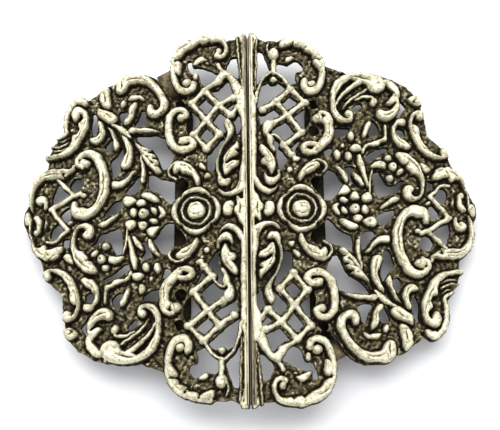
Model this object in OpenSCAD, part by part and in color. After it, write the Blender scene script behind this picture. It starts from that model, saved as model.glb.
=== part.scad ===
// Nurse clasp buckle: two like pierced castings hooked together at a ribbed seam, in millimetres.
// The left casting is drawn once. The right one is the same casting, turned half round.

/* [Casting] */
// Height of the ornament, as a share of the drawn relief
relief = 1; // [0.7:0.05:1.2]
// Thickness of the matted ground between the scrolls
ground_t = 1.2; // [0.8:0.1:1.6]
// Narrowest stem that is built here; the finish adds finer ones
finest = 1; // [1:0.1:1.3]
// How much each half slopes down from the seam, in degrees
slope = 5.5; // [0:0.5:5.5]
// Height of the castings' back above the table at the seam
seam_z = 7.2; // [7:0.1:9]
// Gap between the two halves at the seam
seam_gap = 0.2; // [0.1:0.05:0.4]

/* [Seam ribs] */
// Length of the ribs along the seam
rib_l = 80.6; // [78:0.1:82]
// Height of the ribs
rib_h = 2.3; // [1.8:0.1:2.6]

/* [Rosette] */
// Radius of the rosette's central boss
boss_r = 1.95; // [1.5:0.05:2.4]
// Radius of the plain ring round the boss
ring_r = 3; // [2.7:0.1:3.3]
// Radius of the lobed ring, at its four notches
lobe_r = 4.2; // [4:0.1:4.4]
// How far its four lobes swell past the notches
lobe_out = 0.6; // [0.2:0.1:0.8]

/* [Belt bar] */
// Width of the flat bar that the belt goes round
bar_w = 3.8; // [3:0.1:4.4]
// Thickness of the bar
bar_t = 0.9; // [0.7:0.1:1.2]
// Distance of the bar's middle from the seam
bar_x = 14.4; // [13.8:0.1:15]
// Length of the bar's straight part
bar_l = 54; // [50:1:56]

/* [Clasp] */
// Width of the hidden clasp strip, along the seam
clasp_w = 14; // [8:1:20]
// How far the strip reaches to each side of the seam
clasp_reach = 5; // [4:0.5:6]
// Thickness of the strip
clasp_t = 0.8; // [0.6:0.1:1]
// Gap between the strip and the castings
clasp_gap = 0.15; // [0.1:0.05:0.3]

/* [Hidden] */
SILVER = [0.72, 0.70, 0.60];
BRONZE = [0.42, 0.36, 0.24];

// Outline of the ground, anticlockwise from the top of the seam. The scrolls along the rim overhang it.
OUTLINE = [
    [-1, 39.9], [-2.3, 39.9], [-3.4, 39.6], [-5.4, 39.6], [-9, 40.2], [-12.6, 39.2], [-15.4, 36.8], [-16.8, 33.5],
    [-16.6, 30.4], [-15.2, 27.6], [-16.4, 26.6], [-18.3, 28.6], [-20.4, 31.2], [-23, 32.4], [-26, 32.2], [-28.4, 30.8],
    [-31, 30], [-33, 28.4], [-35.5, 26.8], [-37.4, 26.9], [-39, 25.4], [-40.1, 23], [-40.2, 20], [-41.4, 17.8],
    [-42.8, 16.2], [-43.6, 14], [-43.8, 11], [-45.4, 8.6], [-46.8, 6], [-47.3, 2.8], [-48.4, 0.8], [-48, -2],
    [-46.8, -4.6], [-45.2, -8], [-43.6, -10.2], [-42.8, -13], [-41.2, -15.2], [-38.8, -17], [-38.6, -20.6],
    [-38, -23.4], [-37.6, -26.2], [-35, -28.8], [-31.8, -30.6], [-29, -31.4], [-24.6, -31.4], [-21.4, -31],
    [-18.6, -31.6], [-17.2, -33], [-15.8, -36], [-13.4, -38.2], [-10, -39.4], [-6, -39.4], [-3.4, -39.2],
    [-2.3, -39.9], [-1, -39.9]];

// The gaps cut through the ground, each with its place and its corners.
GAPS = [
    ["upper lobe", [[-13.4, 35], [-11.9, 35], [-12, 33.7], [-10, 33.7], [-8, 32.6], [-5, 30.8], [-8, 28.3],
        [-10.4, 28.8], [-10.6, 31.2], [-12.6, 31.8], [-13.4, 33]]],
    ["upper seam", [[-4.8, 33.2], [-3.4, 35.6], [-2.3, 35.6], [-1.7, 30], [-3, 30.6], [-4.4, 32]]],
    ["upper lattice", [[-4.6, 30], [-2.2, 27.4], [-1.7, 23], [-1.4, 18.6], [-2.4, 16.4], [-3, 20.4], [-4.6, 20.6],
        [-5.2, 15], [-6.6, 11], [-7.4, 8.8], [-8.6, 9], [-9, 11.6], [-8.6, 14], [-9.2, 14.6], [-11, 16.8],
        [-12.8, 16.6], [-13.4, 19], [-13, 22.6], [-11, 24.4], [-9, 26.4], [-8.1, 27.6], [-6.4, 27.8]]],
    ["bar above", [[-15.8, 25.2], [-14.4, 25.6], [-13.4, 24.6], [-14.2, 23.4], [-15.6, 23.6]]],
    ["rosette above", [[-16, 7], [-13.8, 7.6], [-12.6, 6.4], [-13.2, 4.4], [-15.4, 3], [-16.6, 1.6], [-18, 3.4],
        [-19.5, 4.7], [-21.4, 5.4], [-21.7, 8.9], [-20.6, 8.8], [-18.5, 7.6]]],
    ["rosette below", [[-20.3, -5.6], [-18.8, -3.5], [-17.2, -2.1], [-15.6, -2.4], [-14, -4.6], [-12.8, -6.2],
        [-13.6, -7.4], [-15.4, -7.6], [-16.8, -9.2], [-18.2, -9]]],
    ["leaf fan", [[-24.8, 18], [-20, 17.9], [-18, 17.2], [-17.4, 14.8], [-15.8, 13], [-16.2, 11.6], [-17.3, 9.8],
        [-18.2, 9.6], [-18.9, 11], [-19.6, 13], [-20.9, 14.3], [-22.6, 15.2], [-23.9, 16.5]]],
    ["fan left", [[-30.1, 12], [-28.6, 13.6], [-27.6, 15.8], [-26.9, 14], [-27.4, 11], [-27.6, 9.2], [-28.6, 8.2],
        [-29.4, 9.2]]],
    ["fan top", [[-31.6, 15.4], [-30, 17.6], [-29.2, 16.5], [-29.4, 14.8], [-30.6, 14.3]]],
    ["under fan", [[-23.3, 9], [-24.6, 7.4], [-26.5, 5], [-26, 4.2], [-24.5, 4.3], [-23.2, 5], [-23, 7]]],
    ["big scroll foot", [[-28.4, 3.2], [-30.4, 1.2], [-31.4, -0.6], [-28.7, 0], [-27, 1], [-26.5, 2], [-27.3, 3.1]]],
    ["flower left", [[-31.8, -4.2], [-27.3, -2.6], [-26.6, -5.4], [-26.3, -8.4], [-28, -9], [-28.7, -7.2],
        [-29.3, -6], [-30.8, -5.7], [-32.4, -7], [-33.8, -6.8], [-32.4, -5.6]]],
    ["flower below", [[-23, -6], [-21.8, -6], [-20.9, -7.5], [-20.2, -9.6], [-21.5, -10], [-23.2, -9.7],
        [-21.9, -8.8]]],
    ["spray left", [[-25, -10.7], [-25, -12.4], [-27.6, -14.2], [-30, -14.6], [-30.6, -13.8], [-28, -12.6],
        [-26.3, -11]]],
    ["spray right", [[-17.6, -12], [-16.4, -12], [-16, -13.1], [-17.2, -14.2], [-18.3, -14.4]]],
    ["spray foot", [[-22, -18], [-20.2, -16.4], [-18.1, -16.2], [-18.2, -18.8], [-19.9, -19], [-22, -18.8]]],
    ["fan foot", [[-28.5, -18.4], [-27.6, -17.2], [-25.8, -16.8], [-26, -18.6], [-26.7, -20.4], [-27, -21],
        [-28, -19.8]]],
    ["shell eye", [[-25, -24.2], [-24, -22.7], [-22.9, -22.4], [-22.6, -23.4], [-23.6, -24.7], [-24.6, -25]]],
    ["bar eye", [[-15.4, -17.8], [-14.6, -16.6], [-13.4, -16.5], [-12.7, -17.6], [-13.2, -18.9], [-14.6, -19.2]]],
    ["bar below", [[-15.6, -23.4], [-14, -22.8], [-12.9, -24], [-13.2, -25], [-14.6, -25.2]]],
    ["lower lattice", [[-9.4, -12.6], [-7.2, -9.4], [-6.5, -8.4], [-6.2, -10], [-5.8, -12.6], [-5, -14.6],
        [-5, -19.4], [-2.7, -19], [-2.3, -21], [-1.7, -25], [-3, -28.4], [-5.6, -30.4], [-8.2, -28.2], [-9, -27.4],
        [-11, -25.6], [-12.2, -24.4], [-13.4, -22.4], [-13.6, -20.4], [-12.8, -19], [-11.4, -17.6],
        [-11, -15.2]]],
    ["lower lobe", [[-10.8, -29.2], [-9.2, -28.6], [-7.8, -30], [-6.3, -31.4], [-6.1, -33], [-6.8, -34.2],
        [-8.2, -33.8], [-9.7, -34.8], [-11.2, -34.8], [-12.4, -33.4], [-12, -32.2], [-10.5, -31.8],
        [-10.5, -30.4]]],
    ["lower seam", [[-5, -32], [-3.6, -30.4], [-1.7, -28.2], [-1.8, -31], [-1.8, -35.6], [-2.4, -37], [-3.3, -36.6],
        [-4.2, -34.2]]],
    ["top leaf left", [[-28.4, 23.8], [-26.6, 24.1], [-26.2, 23], [-26.9, 20.5], [-27.6, 20.9], [-28.2, 22.3]]],
    ["top leaf right", [[-23.3, 24.3], [-22.5, 23.6], [-22.2, 22], [-21.5, 20.6], [-23, 19.9], [-25.2, 19.9],
        [-24.3, 21.8]]],
    ["long slit", [[-34.2, 24.6], [-33.5, 23.2], [-32.9, 21], [-33.2, 18.8], [-34, 18], [-34.6, 19.8],
        [-34.4, 22.4]]],
    ["tip lattice a", [[-42.5, 4], [-41.4, 7.6], [-39.6, 7.2], [-37.9, 4.6], [-39.8, 3.4], [-41.4, 2],
        [-42.3, 2.3]]],
    ["tip lattice b", [[-38.8, 7], [-37.6, 8.7], [-36.2, 8.8], [-35.4, 7.4], [-35.9, 6], [-37.2, 5]]],
    ["tip lattice c", [[-40.6, 0.6], [-38.8, 2.2], [-37.9, 2], [-37.7, 0.6], [-38.2, -1.2], [-39.2, -1.4]]],
    ["tip lattice d", [[-42.3, -3], [-41.4, -1.6], [-40.2, -1.6], [-39.3, -3], [-40.4, -5], [-41.5, -5.5],
        [-42.3, -4.6]]],
    ["tip lattice e", [[-39.4, -5], [-38.2, -4.9], [-37.9, -6.9], [-39.9, -7]]],
    ["lower curl", [[-34.2, -17.2], [-33, -16.5], [-32, -17.3], [-31.8, -18.8], [-33, -19], [-34, -18.6]]],
    ["lower slit", [[-33.4, -21.8], [-32.6, -21.2], [-31.9, -22], [-32.8, -24], [-33, -25.8], [-33.8, -25.6],
        [-34.8, -24], [-33.9, -22.8]]]];

// Scrolls, stems and leaves: name, widths at start, middle and end, height, ball at start and end, spine.
STEMS = [
    ["upper lobe", [1.1, 1.9, 1.2], 2.9, [1.05, 1.15], [[-6.6, 36.6], [-5.7, 35.5], [-4.8, 36.8], [-5.3, 38.9],
        [-7.4, 40], [-10.4, 40], [-13.2, 38.7], [-15.4, 36.5], [-16.6, 33.6], [-16.7, 30.8], [-15.4, 28.2],
        [-13.2, 27.2], [-11.9, 28.2], [-12.4, 29.7], [-13.5, 29.4]]],
    ["upper lobe leaf", [0.5, 1, 0.9], 2, [0, 0], [[-12, 34], [-10.8, 35.4], [-9, 35.4], [-7.8, 34.4]]],
    ["upper arch", [1, 1, 0.9], 2.3, [0, 0], [[-9.3, 27.6], [-8, 29], [-6.6, 30.6], [-5.4, 31.9], [-4.2, 31.2],
        [-3, 29.2], [-2.2, 26.6], [-1.6, 23], [-1.3, 17], [-1.3, 9], [-1.9, 5.8], [-3.2, 3.9], [-4.8, 3.4],
        [-6.1, 4.3]]],
    ["upper teardrop", [0.8, 1.7, 0.5], 2.8, [0, 0], [[-4.2, 20.3], [-3.7, 18.8], [-3.7, 17], [-4.5, 15],
        [-5.3, 13]]],
    ["upper crook", [0.5, 0.7, 1.3], 2.4, [0, 0], [[-5.3, 13], [-6.2, 11.2], [-6.5, 9], [-6.2, 6.9], [-5.2, 5.8],
        [-3.9, 6.3]]],
    ["upper acanthus", [0.9, 1.6, 0.4], 2.8, [0, 0], [[-4.9, 7.8], [-4.9, 10], [-4.3, 12], [-3.2, 13.6],
        [-2.2, 14.8]]],
    ["upper acanthus lobe", [0.8, 1.1, 0.4], 2.6, [0, 0], [[-4.6, 8.2], [-3.9, 9.6], [-2.8, 10.2], [-1.8, 10.3]]],
    ["lower arch", [0.5, 1, 0.8], 2.3, [0, 0], [[-6.4, -5.6], [-5.6, -4.2], [-4.2, -3.5], [-2.6, -4.3],
        [-1.5, -6.2], [-1.2, -9.5], [-1.3, -17], [-1.6, -23], [-2.3, -26.6], [-3.2, -29.2], [-4.4, -30.7],
        [-5.8, -31], [-7.2, -30], [-8.6, -28.4], [-9.2, -27.4]]],
    ["lower crescent", [0.5, 1.5, 0.6], 2.6, [0, 0], [[-6, -8.2], [-5.8, -6.8], [-4.7, -5.8], [-3.6, -6.3],
        [-3.3, -7.4]]],
    ["lower crook", [0.5, 0.6, 0.8], 2.1, [0, 0], [[-6, -8.2], [-5.9, -10.4], [-5.4, -12.4], [-4.7, -13.8]]],
    ["lower acanthus", [0.6, 2, 0.5], 2.8, [0, 0], [[-5, -7.8], [-4.7, -9.6], [-4, -11.2], [-3.2, -12.6],
        [-2.5, -13.8]]],
    ["lower teardrop", [0.7, 1.5, 0.9], 2.8, [0, 0], [[-4.8, -13.6], [-3.9, -15.6], [-3.6, -17.6],
        [-4.3, -19.2]]],
    ["lower hook", [0.6, 0.6, 0.5], 2.2, [0, 0], [[-7.5, -14.2], [-6.6, -15.6], [-5.4, -16.6], [-4.5, -16.4]]],
    ["lower lobe", [1.1, 1.9, 1.2], 2.9, [1.1, 1.3], [[-13.6, -28.9], [-12.4, -29], [-12.9, -27.4], [-14.6, -27],
        [-16.1, -28.2], [-16.8, -30.2], [-16.6, -33], [-15.3, -35.9], [-13.3, -37.6], [-10.4, -38.8],
        [-7.4, -38.9], [-5, -38.2], [-4.1, -36.6], [-4.6, -35.2], [-5.7, -35.8]]],
    ["lower lobe leaf", [0.5, 0.9, 1.1], 2.1, [0, 0.8], [[-13, -33.4], [-12, -35.4], [-10.2, -35.9],
        [-8.9, -35]]],
    ["lower lobe stem", [0.8, 1, 1], 2.1, [0, 0], [[-5.7, -31], [-5.5, -33], [-5.6, -34.6]]],
    ["upper lobe stem", [0.7, 0.7, 0.8], 2.1, [0, 0.7], [[-5.4, 31.9], [-6, 32.8], [-6.3, 33.5]]],
    ["scroll over rosette", [0.5, 0.6, 0.6], 2.3, [0, 0], [[-15.2, 7.1], [-16.6, 7.8], [-16.8, 9.4],
        [-15.4, 10.7], [-13.6, 10.8]]],
    ["leaf over rosette", [1.4, 2, 0.7], 2.9, [0, 0], [[-14.9, 8.9], [-13.4, 9.6], [-11.9, 8.8], [-10.9, 7.2],
        [-10.3, 5.5]]],
    ["scroll under rosette", [0.5, 0.6, 0.6], 2.3, [0, 0], [[-15.8, -8.2], [-16.6, -9.6], [-15.6, -10.8],
        [-13.8, -10.8], [-12.2, -9.8]]],
    ["leaf under rosette", [1.3, 1.9, 0.7], 2.9, [0, 0], [[-14.7, -9.5], [-13.2, -9.4], [-11.8, -8.6],
        [-10.9, -7.4], [-10.3, -6.2]]],
    ["scroll by upper lattice", [1.1, 1.5, 1.2], 2.9, [1.15, 0.9], [[-14.4, 21], [-13.3, 21.6], [-14, 22.8],
        [-15.6, 22.8], [-16.8, 21.4], [-17.1, 19.2], [-16.9, 17], [-16.2, 15], [-14.6, 13.8], [-12.7, 13.8],
        [-11.7, 14.9], [-12.5, 16], [-14, 15.9]]],
    ["scroll by lower lattice", [1, 1.5, 1.1], 2.9, [0.7, 1.15], [[-13.8, -14], [-12.3, -14.2], [-11.6, -13.2],
        [-12.6, -12.4], [-14.3, -12.9], [-16, -14], [-17.1, -15.8], [-17.5, -18], [-17.2, -20.2],
        [-16.2, -21.4], [-15.3, -20.6]]],
    ["upper outer scroll", [1.1, 1.9, 1.2], 2.9, [0, 1.15], [[-27.3, 28.2], [-26.7, 30.2], [-25, 30.9],
        [-22.8, 30.6], [-20.8, 29.2], [-19.2, 27], [-18.3, 24.8], [-18.8, 22.9], [-20.4, 22.1], [-21.7, 23],
        [-20.8, 24.1]]],
    ["upper outer rim", [0.7, 0.8, 0.7], 1.8, [0, 0], [[-29, 28.8], [-28.6, 30.8], [-27, 32.1], [-24.8, 32.6],
        [-22.4, 32.4], [-20.2, 31.5], [-18.4, 29.4]]],
    ["upper inner leaf", [0.6, 0.9, 0.6], 2, [0, 0], [[-26.6, 26.4], [-25, 27.4], [-23.4, 27], [-22.4, 25.6]]],
    ["upper hanging leaf", [0.6, 1.6, 0.8], 2.6, [0, 0], [[-24.5, 25.4], [-25.2, 23.6], [-25.8, 22.2],
        [-26.6, 20.8]]],
    ["left frond top", [1.2, 1.3, 1.1], 2.7, [0, 0], [[-29, 30.4], [-31.2, 29.9], [-32.3, 28.2], [-32, 26.2],
        [-30.4, 25.3]]],
    ["left frond middle", [0.8, 2.1, 1.4], 2.8, [0, 0], [[-33.2, 25], [-31.8, 24], [-30.2, 23],
        [-28.9, 22]]],
    ["left frond foot", [0.8, 1.5, 0.8], 2.7, [0, 0], [[-32.6, 22], [-31.9, 20.2], [-31.6, 18.4], [-32.4, 17.1],
        [-34.3, 17.3]]],
    ["horizontal stem", [0.9, 0.8, 0.5], 2.3, [0, 0], [[-26.2, 18.9], [-24, 18.9], [-21.4, 18.7],
        [-18.6, 17.8]]],
    ["fan leaf a", [0.5, 1, 1.2], 2.6, [0, 0], [[-30.3, 20], [-29.2, 18], [-28.6, 16], [-28.7, 14.3]]],
    ["fan leaf b", [0.7, 1.5, 1.4], 2.8, [0, 0], [[-26.9, 17.6], [-26.1, 15.2], [-25.7, 12.6], [-26.4, 10.2]]],
    ["fan leaf b turn", [0.6, 1.1, 1], 2.5, [0, 0], [[-24.2, 10], [-25.3, 8.2], [-27, 7], [-28.8, 6.3]]],
    ["feathered leaf", [0.6, 1.9, 1], 2.9, [0, 0], [[-25.2, 17.3], [-23.9, 15], [-22.2, 12.8], [-20.6, 10.9],
        [-18.9, 8.9]]],
    ["fan stem", [0.5, 0.9, 0.7], 2.3, [0, 0], [[-23.2, 13.6], [-22.6, 11], [-22.4, 8.6], [-22.5, 6.6]]],
    ["hub", [0.7, 1.2, 0.7], 2, [0, 0], [[-29.6, 20.6], [-27.4, 19.2], [-25.6, 17.4]]],
    ["twig a", [0.5, 0.6, 0.5], 2, [0, 0], [[-25.6, -3.6], [-25.6, -6.4], [-26.3, -8.9]]],
    ["twig b", [0.5, 1, 0.9], 2.4, [0, 0], [[-25, -5.4], [-24.4, -8], [-23.6, -12]]],
    ["twig c", [0.6, 1, 0.7], 2.3, [0, 0], [[-24.1, -5.6], [-23.1, -7.1], [-22, -8.3]]],
    ["twig d", [0.5, 0.9, 0.6], 2.3, [0, 0], [[-20.7, -5.9], [-19.9, -7.9], [-18.4, -9.7]]],
    ["left of spray", [0.7, 0.9, 0.5], 2.4, [0, 0], [[-24.6, -12.6], [-25.6, -14.1], [-27.8, -14.9],
        [-29.5, -16.2], [-29.5, -19]]],
    ["spray leaf", [0.5, 1.2, 0.8], 2.5, [0, 0], [[-24.6, -16.2], [-25.3, -18.2], [-26.1, -19.9]]],
    ["twig over small flower", [0.5, 1.2, 0.6], 2.3, [0, 0], [[-32.2, -2.5], [-30.6, -2.2], [-29, -1.2],
        [-27.4, -0.5]]],
    ["big scroll", [1.2, 2.1, 1.3], 3, [1.35, 0.7], [[-35.1, 11.8], [-36.4, 12.6], [-35.3, 14.1], [-33.3, 13.8],
        [-31.8, 11.9], [-30.9, 9], [-30.8, 6], [-31.4, 3], [-32.7, 0.7], [-34.5, -0.4], [-36.6, -0.1],
        [-37.3, 1.3], [-36.9, 2.6]]],
    ["big scroll foot leaf", [0.6, 1.4, 0.6], 2.8, [0, 0], [[-36, 1.2], [-34.6, 0.9], [-33, 0.4]]],
    ["small flower scroll", [1, 1, 0.6], 2.5, [1.35, 0], [[-33.7, -3.9], [-34.3, -2.7], [-35.8, -2.9],
        [-37, -4.6], [-37.2, -6.8], [-36.7, -9], [-35.6, -11.1], [-33.9, -12.6], [-31.8, -12.8]]],
    ["ribbed leaf a", [0.7, 1, 0.5], 2.5, [0, 0], [[-36.6, -7.2], [-35.8, -8], [-34.8, -8.3]]],
    ["ribbed leaf b", [0.7, 1.4, 0.6], 2.6, [0, 0], [[-36.4, -8.8], [-35.2, -9.6], [-33.9, -9.7]]],
    ["ribbed leaf c", [0.7, 1.6, 0.6], 2.7, [0, 0], [[-35.4, -10.4], [-34, -11.5], [-31.8, -11.9]]],
    ["upper left scroll", [1.1, 1.7, 1.1], 2.9, [1.25, 0], [[-37.6, 23], [-38.1, 24.4], [-36.9, 24.9],
        [-35.6, 23.8], [-35.3, 21.4], [-35.6, 19], [-36.5, 16.8], [-38, 14.8], [-40.4, 13.6], [-43.6, 13.1]]],
    ["upper left crest", [0.7, 1.3, 0.7], 2.5, [0, 0], [[-39, 25.8], [-37.6, 27.2], [-36, 27], [-35.2, 25.6]]],
    ["upper left rim", [0.6, 0.8, 0.6], 2, [0, 0], [[-39.4, 24.8], [-40, 22.4], [-40.1, 20.4], [-39.8, 18.8],
        [-41.6, 17.7]]],
    ["twig by big scroll", [0.7, 0.8, 0.6], 2.4, [0, 0], [[-37.6, 11.3], [-38.2, 10.2], [-39.3, 9]]],
    ["tip rim top", [0.8, 2, 1.1], 2.8, [0, 0], [[-38.6, 9.8], [-41, 9.6], [-43.6, 9.1], [-45.6, 7.6],
        [-46.6, 5.4], [-46.9, 3], [-46.2, 0.9]]],
    ["tip curl", [0.8, 0.9, 0.7], 2.6, [0.75, 0], [[-45, 3.2], [-44.6, 4.2], [-43.6, 3.6], [-43.3, 2],
        [-43.6, 0.5]]],
    ["tip leaf a", [0.6, 1.1, 0.6], 2.5, [0, 0], [[-45.1, -0.3], [-45.1, -2], [-44.8, -3.8]]],
    ["tip leaf b", [0.5, 0.8, 0.5], 2.4, [0, 0], [[-43.3, -0.6], [-43.2, -2], [-43.6, -3.5]]],
    ["tip rim foot", [0.6, 1, 1.4], 2.3, [0, 0], [[-46.7, -1.6], [-46.7, -3.6], [-45.9, -5.8], [-44.6, -7.9],
        [-42.9, -9.6]]],
    ["tip lattice a", [0.8, 0.8, 0.8], 2, [0, 0], [[-41.4, 8.6], [-39.5, 6.6], [-37.3, 4.5]]],
    ["tip lattice b", [0.9, 0.9, 0.9], 2.1, [0, 0], [[-42.4, 1.6], [-40, 2.9], [-37.3, 4.5], [-36, 4.9]]],
    ["tip lattice c", [0.9, 0.9, 0.8], 2.1, [0, 0], [[-42, 1.6], [-41.2, 0], [-39.6, -1.6], [-38.2, -3.2]]],
    ["tip lattice d", [0.8, 0.7, 0.6], 2, [0, 0], [[-38.2, -3], [-39.6, -4.2], [-41, -5.6], [-42.8, -5.6]]],
    ["tip lattice e", [0.8, 0.8, 0.7], 2, [0, 0], [[-42.6, 8.4], [-42.6, 5.4], [-42.8, 2], [-42.6, -2],
        [-42.4, -4.8]]],
    ["lower left scroll", [0.9, 1.7, 1.2], 2.8, [0, 1.1], [[-42.7, -12.1], [-40.8, -11.8], [-38.7, -12.7],
        [-37.1, -14.6], [-36, -17], [-35.3, -19.4], [-35.7, -21.4], [-36.7, -22.3], [-37.4, -21.6]]],
    ["lower curl", [0.8, 1.5, 0.9], 2.6, [0, 0.75], [[-34.6, -14.4], [-33.1, -15], [-31.8, -16.3], [-31.2, -18.2],
        [-31.8, -20], [-33.2, -19.9]]],
    ["shell head", [0.6, 2, 1.3], 2.9, [0, 0.9], [[-33, -25.4], [-32.6, -23.4], [-31.3, -21.5], [-29.5, -20.7],
        [-28.2, -21.5], [-28.4, -22.6]]],
    ["shell second leaf", [0.5, 1.3, 0.6], 2.5, [0, 0], [[-30.6, -24.2], [-32, -25], [-32.6, -26.8],
        [-31.8, -28.4]]],
    ["shell scroll", [1.1, 1.5, 0.9], 2.8, [1.2, 0], [[-21.5, -21.4], [-22.3, -20.8], [-21.2, -20],
        [-19.7, -20.4], [-18.7, -22], [-18.6, -24.4], [-19.4, -27], [-21, -29.3], [-23, -30.5],
        [-25.2, -30.4]]],
    ["shell flute a", [0.5, 0.6, 0.4], 2.1, [0, 0], [[-19.4, -24.8], [-21.4, -26.4], [-25, -28.7]]],
    ["shell flute b", [0.4, 0.5, 0.4], 1.9, [0, 0], [[-20.8, -25], [-22.6, -26], [-26.2, -27.2]]],
    ["shell flute c", [0.4, 0.5, 0.4], 1.9, [0, 0], [[-20.2, -27], [-21.6, -28.2], [-23.6, -29.4]]],
    ["shell foot curl", [1.1, 0.9, 0.6], 2.7, [1.1, 0], [[-27.1, -28.8], [-27.6, -28], [-28.9, -28.8],
        [-29.3, -30], [-29.1, -31.3]]],
    ["shell foot", [0.7, 1.2, 0.7], 2.4, [0, 0], [[-28.4, -30.8], [-26.8, -30.4], [-25, -29.8],
        [-23.2, -29.8]]],
    ["shell inner curl", [0.5, 0.7, 0.5], 2, [0, 0], [[-28, -24.8], [-26.8, -26], [-25, -26], [-23.4, -25.2]]]];

// Beads, berries and petals: middle, radii along and across, turn in degrees, height.
BEADS = [
    [[-15.3, 33.9], [1.2, 0.8], 80, 2.8], [[-8.7, 34.2], [0.7, 0.4], 0, 1.9],
    [[-11.4, 31], [0.5, 0.5], 0, 2.1], [[-9.8, 9.9], [1, 0.5], -55, 2.2],
    [[-8.7, 7.5], [0.65, 0.5], 0, 2.1], [[-8.7, -8.7], [0.7, 0.45], 0, 2.1],
    [[-10.3, -11], [0.8, 0.5], -20, 2.1], [[-5.4, -29.5], [0.9, 0.7], 0, 2.3],
    [[-4.1, 0.1], [1.4, 1.2], 0, 2.9], [[-2.5, -1], [1, 0.7], -60, 2.4], [[-2.5, 1.1], [1, 0.7], 60, 2.4],
    [[-15.2, -33.4], [1.5, 0.9], 75, 2.9], [[-13.4, -36.5], [1.5, 0.7], -35, 2.9],
    [[-8.5, -38.1], [1.6, 0.8], 20, 2.9], [[-11.4, -38], [1.2, 0.6], -10, 2.9],
    [[-11.5, -30.8], [0.6, 0.5], 0, 2], [[-27.3, 25.2], [0.9, 0.9], 0, 2.6],
    [[-29.1, 28.6], [1.3, 0.8], 80, 2.5], [[-26.9, 28.9], [1.2, 0.7], 80, 2.4],
    [[-29.9, -7.1], [1, 1], 0, 2.7], [[-32.2, -8.6], [1.1, 0.7], 45, 2.5],
    [[-28, -9.8], [1.7, 0.9], -10, 2.6], [[-29.8, -11.7], [1, 0.8], 0, 2.5],
    [[-21.3, -11.9], [0.8, 0.9], 0, 2.6], [[-18.8, -12], [0.75, 1], 0, 2.6],
    [[-22.7, -13.7], [1.3, 0.8], -10, 2.6], [[-21.8, -16.5], [0.8, 1.1], -20, 2.6],
    [[-20.1, -14.4], [0.5, 0.8], 10, 2.2], [[-38, -9.6], [1.3, 0.8], -30, 2.4],
    [[-41.5, -8.8], [2.3, 1], 20, 2.7], [[-44, -8], [1.4, 0.7], -10, 2.4],
    [[-41.8, -13.4], [0.8, 1.1], 0, 2.3], [[-36.4, -18], [0.8, 1.7], -12, 2.7],
    [[-36.6, -25.1], [1.7, 1.1], -20, 2.5], [[-31, -29], [1.3, 0.8], -20, 2.4],
    [[-27.5, -24.7], [0.9, 0.8], 0, 2.4], [[-37, 20.4], [0.7, 1.2], 0, 2.8],
    [[-37.8, 17.4], [0.8, 1.3], -20, 2.8], [[-39.9, 21.8], [0.6, 1], 0, 2.2],
    [[-47.7, -0.4], [0.9, 1.9], 8, 2.2], [[-35.3, 4.5], [0.9, 0.7], 0, 2.2], [[-34.6, 8], [0.6, 0.5], 0, 2],
    [[-37.8, -1.6], [0.8, 0.6], 20, 2.2]];

// Petals and rings of the main flower and the small one: middle, radii, turn, height.
PETALS = [
    [[-22, -0.1], [1.1, 1.1], 0, 2.9], [[-22.8, 2.2], [1, 0.8], 30, 2.5], [[-24.3, 0], [0.8, 0.9], 0, 2.5],
    [[-24.5, -2.5], [1.3, 0.9], 20, 2.4], [[-22.1, -2.7], [0.9, 0.8], 0, 2.5], [[-19.9, 0.5], [0.6, 1], 20, 2.4],
    [[-20, -2], [0.7, 0.6], 0, 2.4], [[-20.7, 3.3], [1.9, 1], -25, 2.2], [[-25, 2.8], [1.8, 1], 15, 2.2],
    [[-18.3, 0.2], [0.6, 1.3], 0, 2], [[-20, -4.3], [1.4, 0.7], 20, 2.2], [[-18.7, -2.1], [0.9, 0.5], 0, 2],
    [[-30.7, -9.8], [0.95, 0.95], 0, 2.7]];

// Lattice bars, each between two knots, and the knots.
UPPER_KNOTS = [[-12.1, 24.6], [-9.3, 27.4], [-6.2, 23.9], [-8.9, 20.4], [-11.6, 17.2], [-6.1, 17], [-3.5, 21.3],
    [-8.9, 14.4], [-3, 25.4], [-1.9, 23]];
UPPER_BARS = [[0, 3], [3, 5], [1, 2], [1, 0], [2, 3], [3, 4], [4, 7], [5, 7], [2, 8], [6, 9], [2, 6]];
LOWER_KNOTS = [[-11.4, -17.4], [-8.4, -21.3], [-12.3, -24.4], [-6, -24.5], [-7.5, -14.2], [-9.2, -27.4],
    [-3.1, -22.5], [-5, -19.2], [-9.2, -12.2], [-2.6, -25.6]];
LOWER_BARS = [[4, 0], [0, 1], [1, 2], [2, 5], [1, 3], [3, 5], [3, 6], [1, 7], [4, 8], [6, 7], [5, 9]];

// Section of the ribs along the seam, from the seam outward: distance from the seam, height as a share of rib_h.
RIBS = [[0, 0.85], [0.2, 1], [0.5, 0.8], [0.8, 1], [1.1, 0.95], [1.35, 0.7], [1.6, 0.8], [1.9, 0.5]];

// The point of a list at k, or at its nearer end.
function at(p, k) = p[max(0, min(len(p) - 1, k))];
function width(w, t) = t < 0.5 ? w[0] + (w[1] - w[0]) * 2 * t : w[1] + (w[2] - w[1]) * (2 * t - 1);

// A post, wide at the back and narrow on top.
module post(p, r, h, sides) translate([p[0], p[1], 0]) cylinder(r1 = r, r2 = r * 0.5, h = h * relief, $fn = sides);

// The section of a raised stretch at point k of a spine, square to it: a ridge that starts inside the ground.
function heading(p, k) = let (d = at(p, k + 1) - at(p, k - 1)) d / norm(d);
function section(p, k, w, h) = let (d = heading(p, k), side = [-d[1], d[0]] * w * 0.6) [
    concat(p[k] - side, ground_t / 3), concat(p[k] + side, ground_t / 3), concat(p[k], h * relief)];

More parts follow.
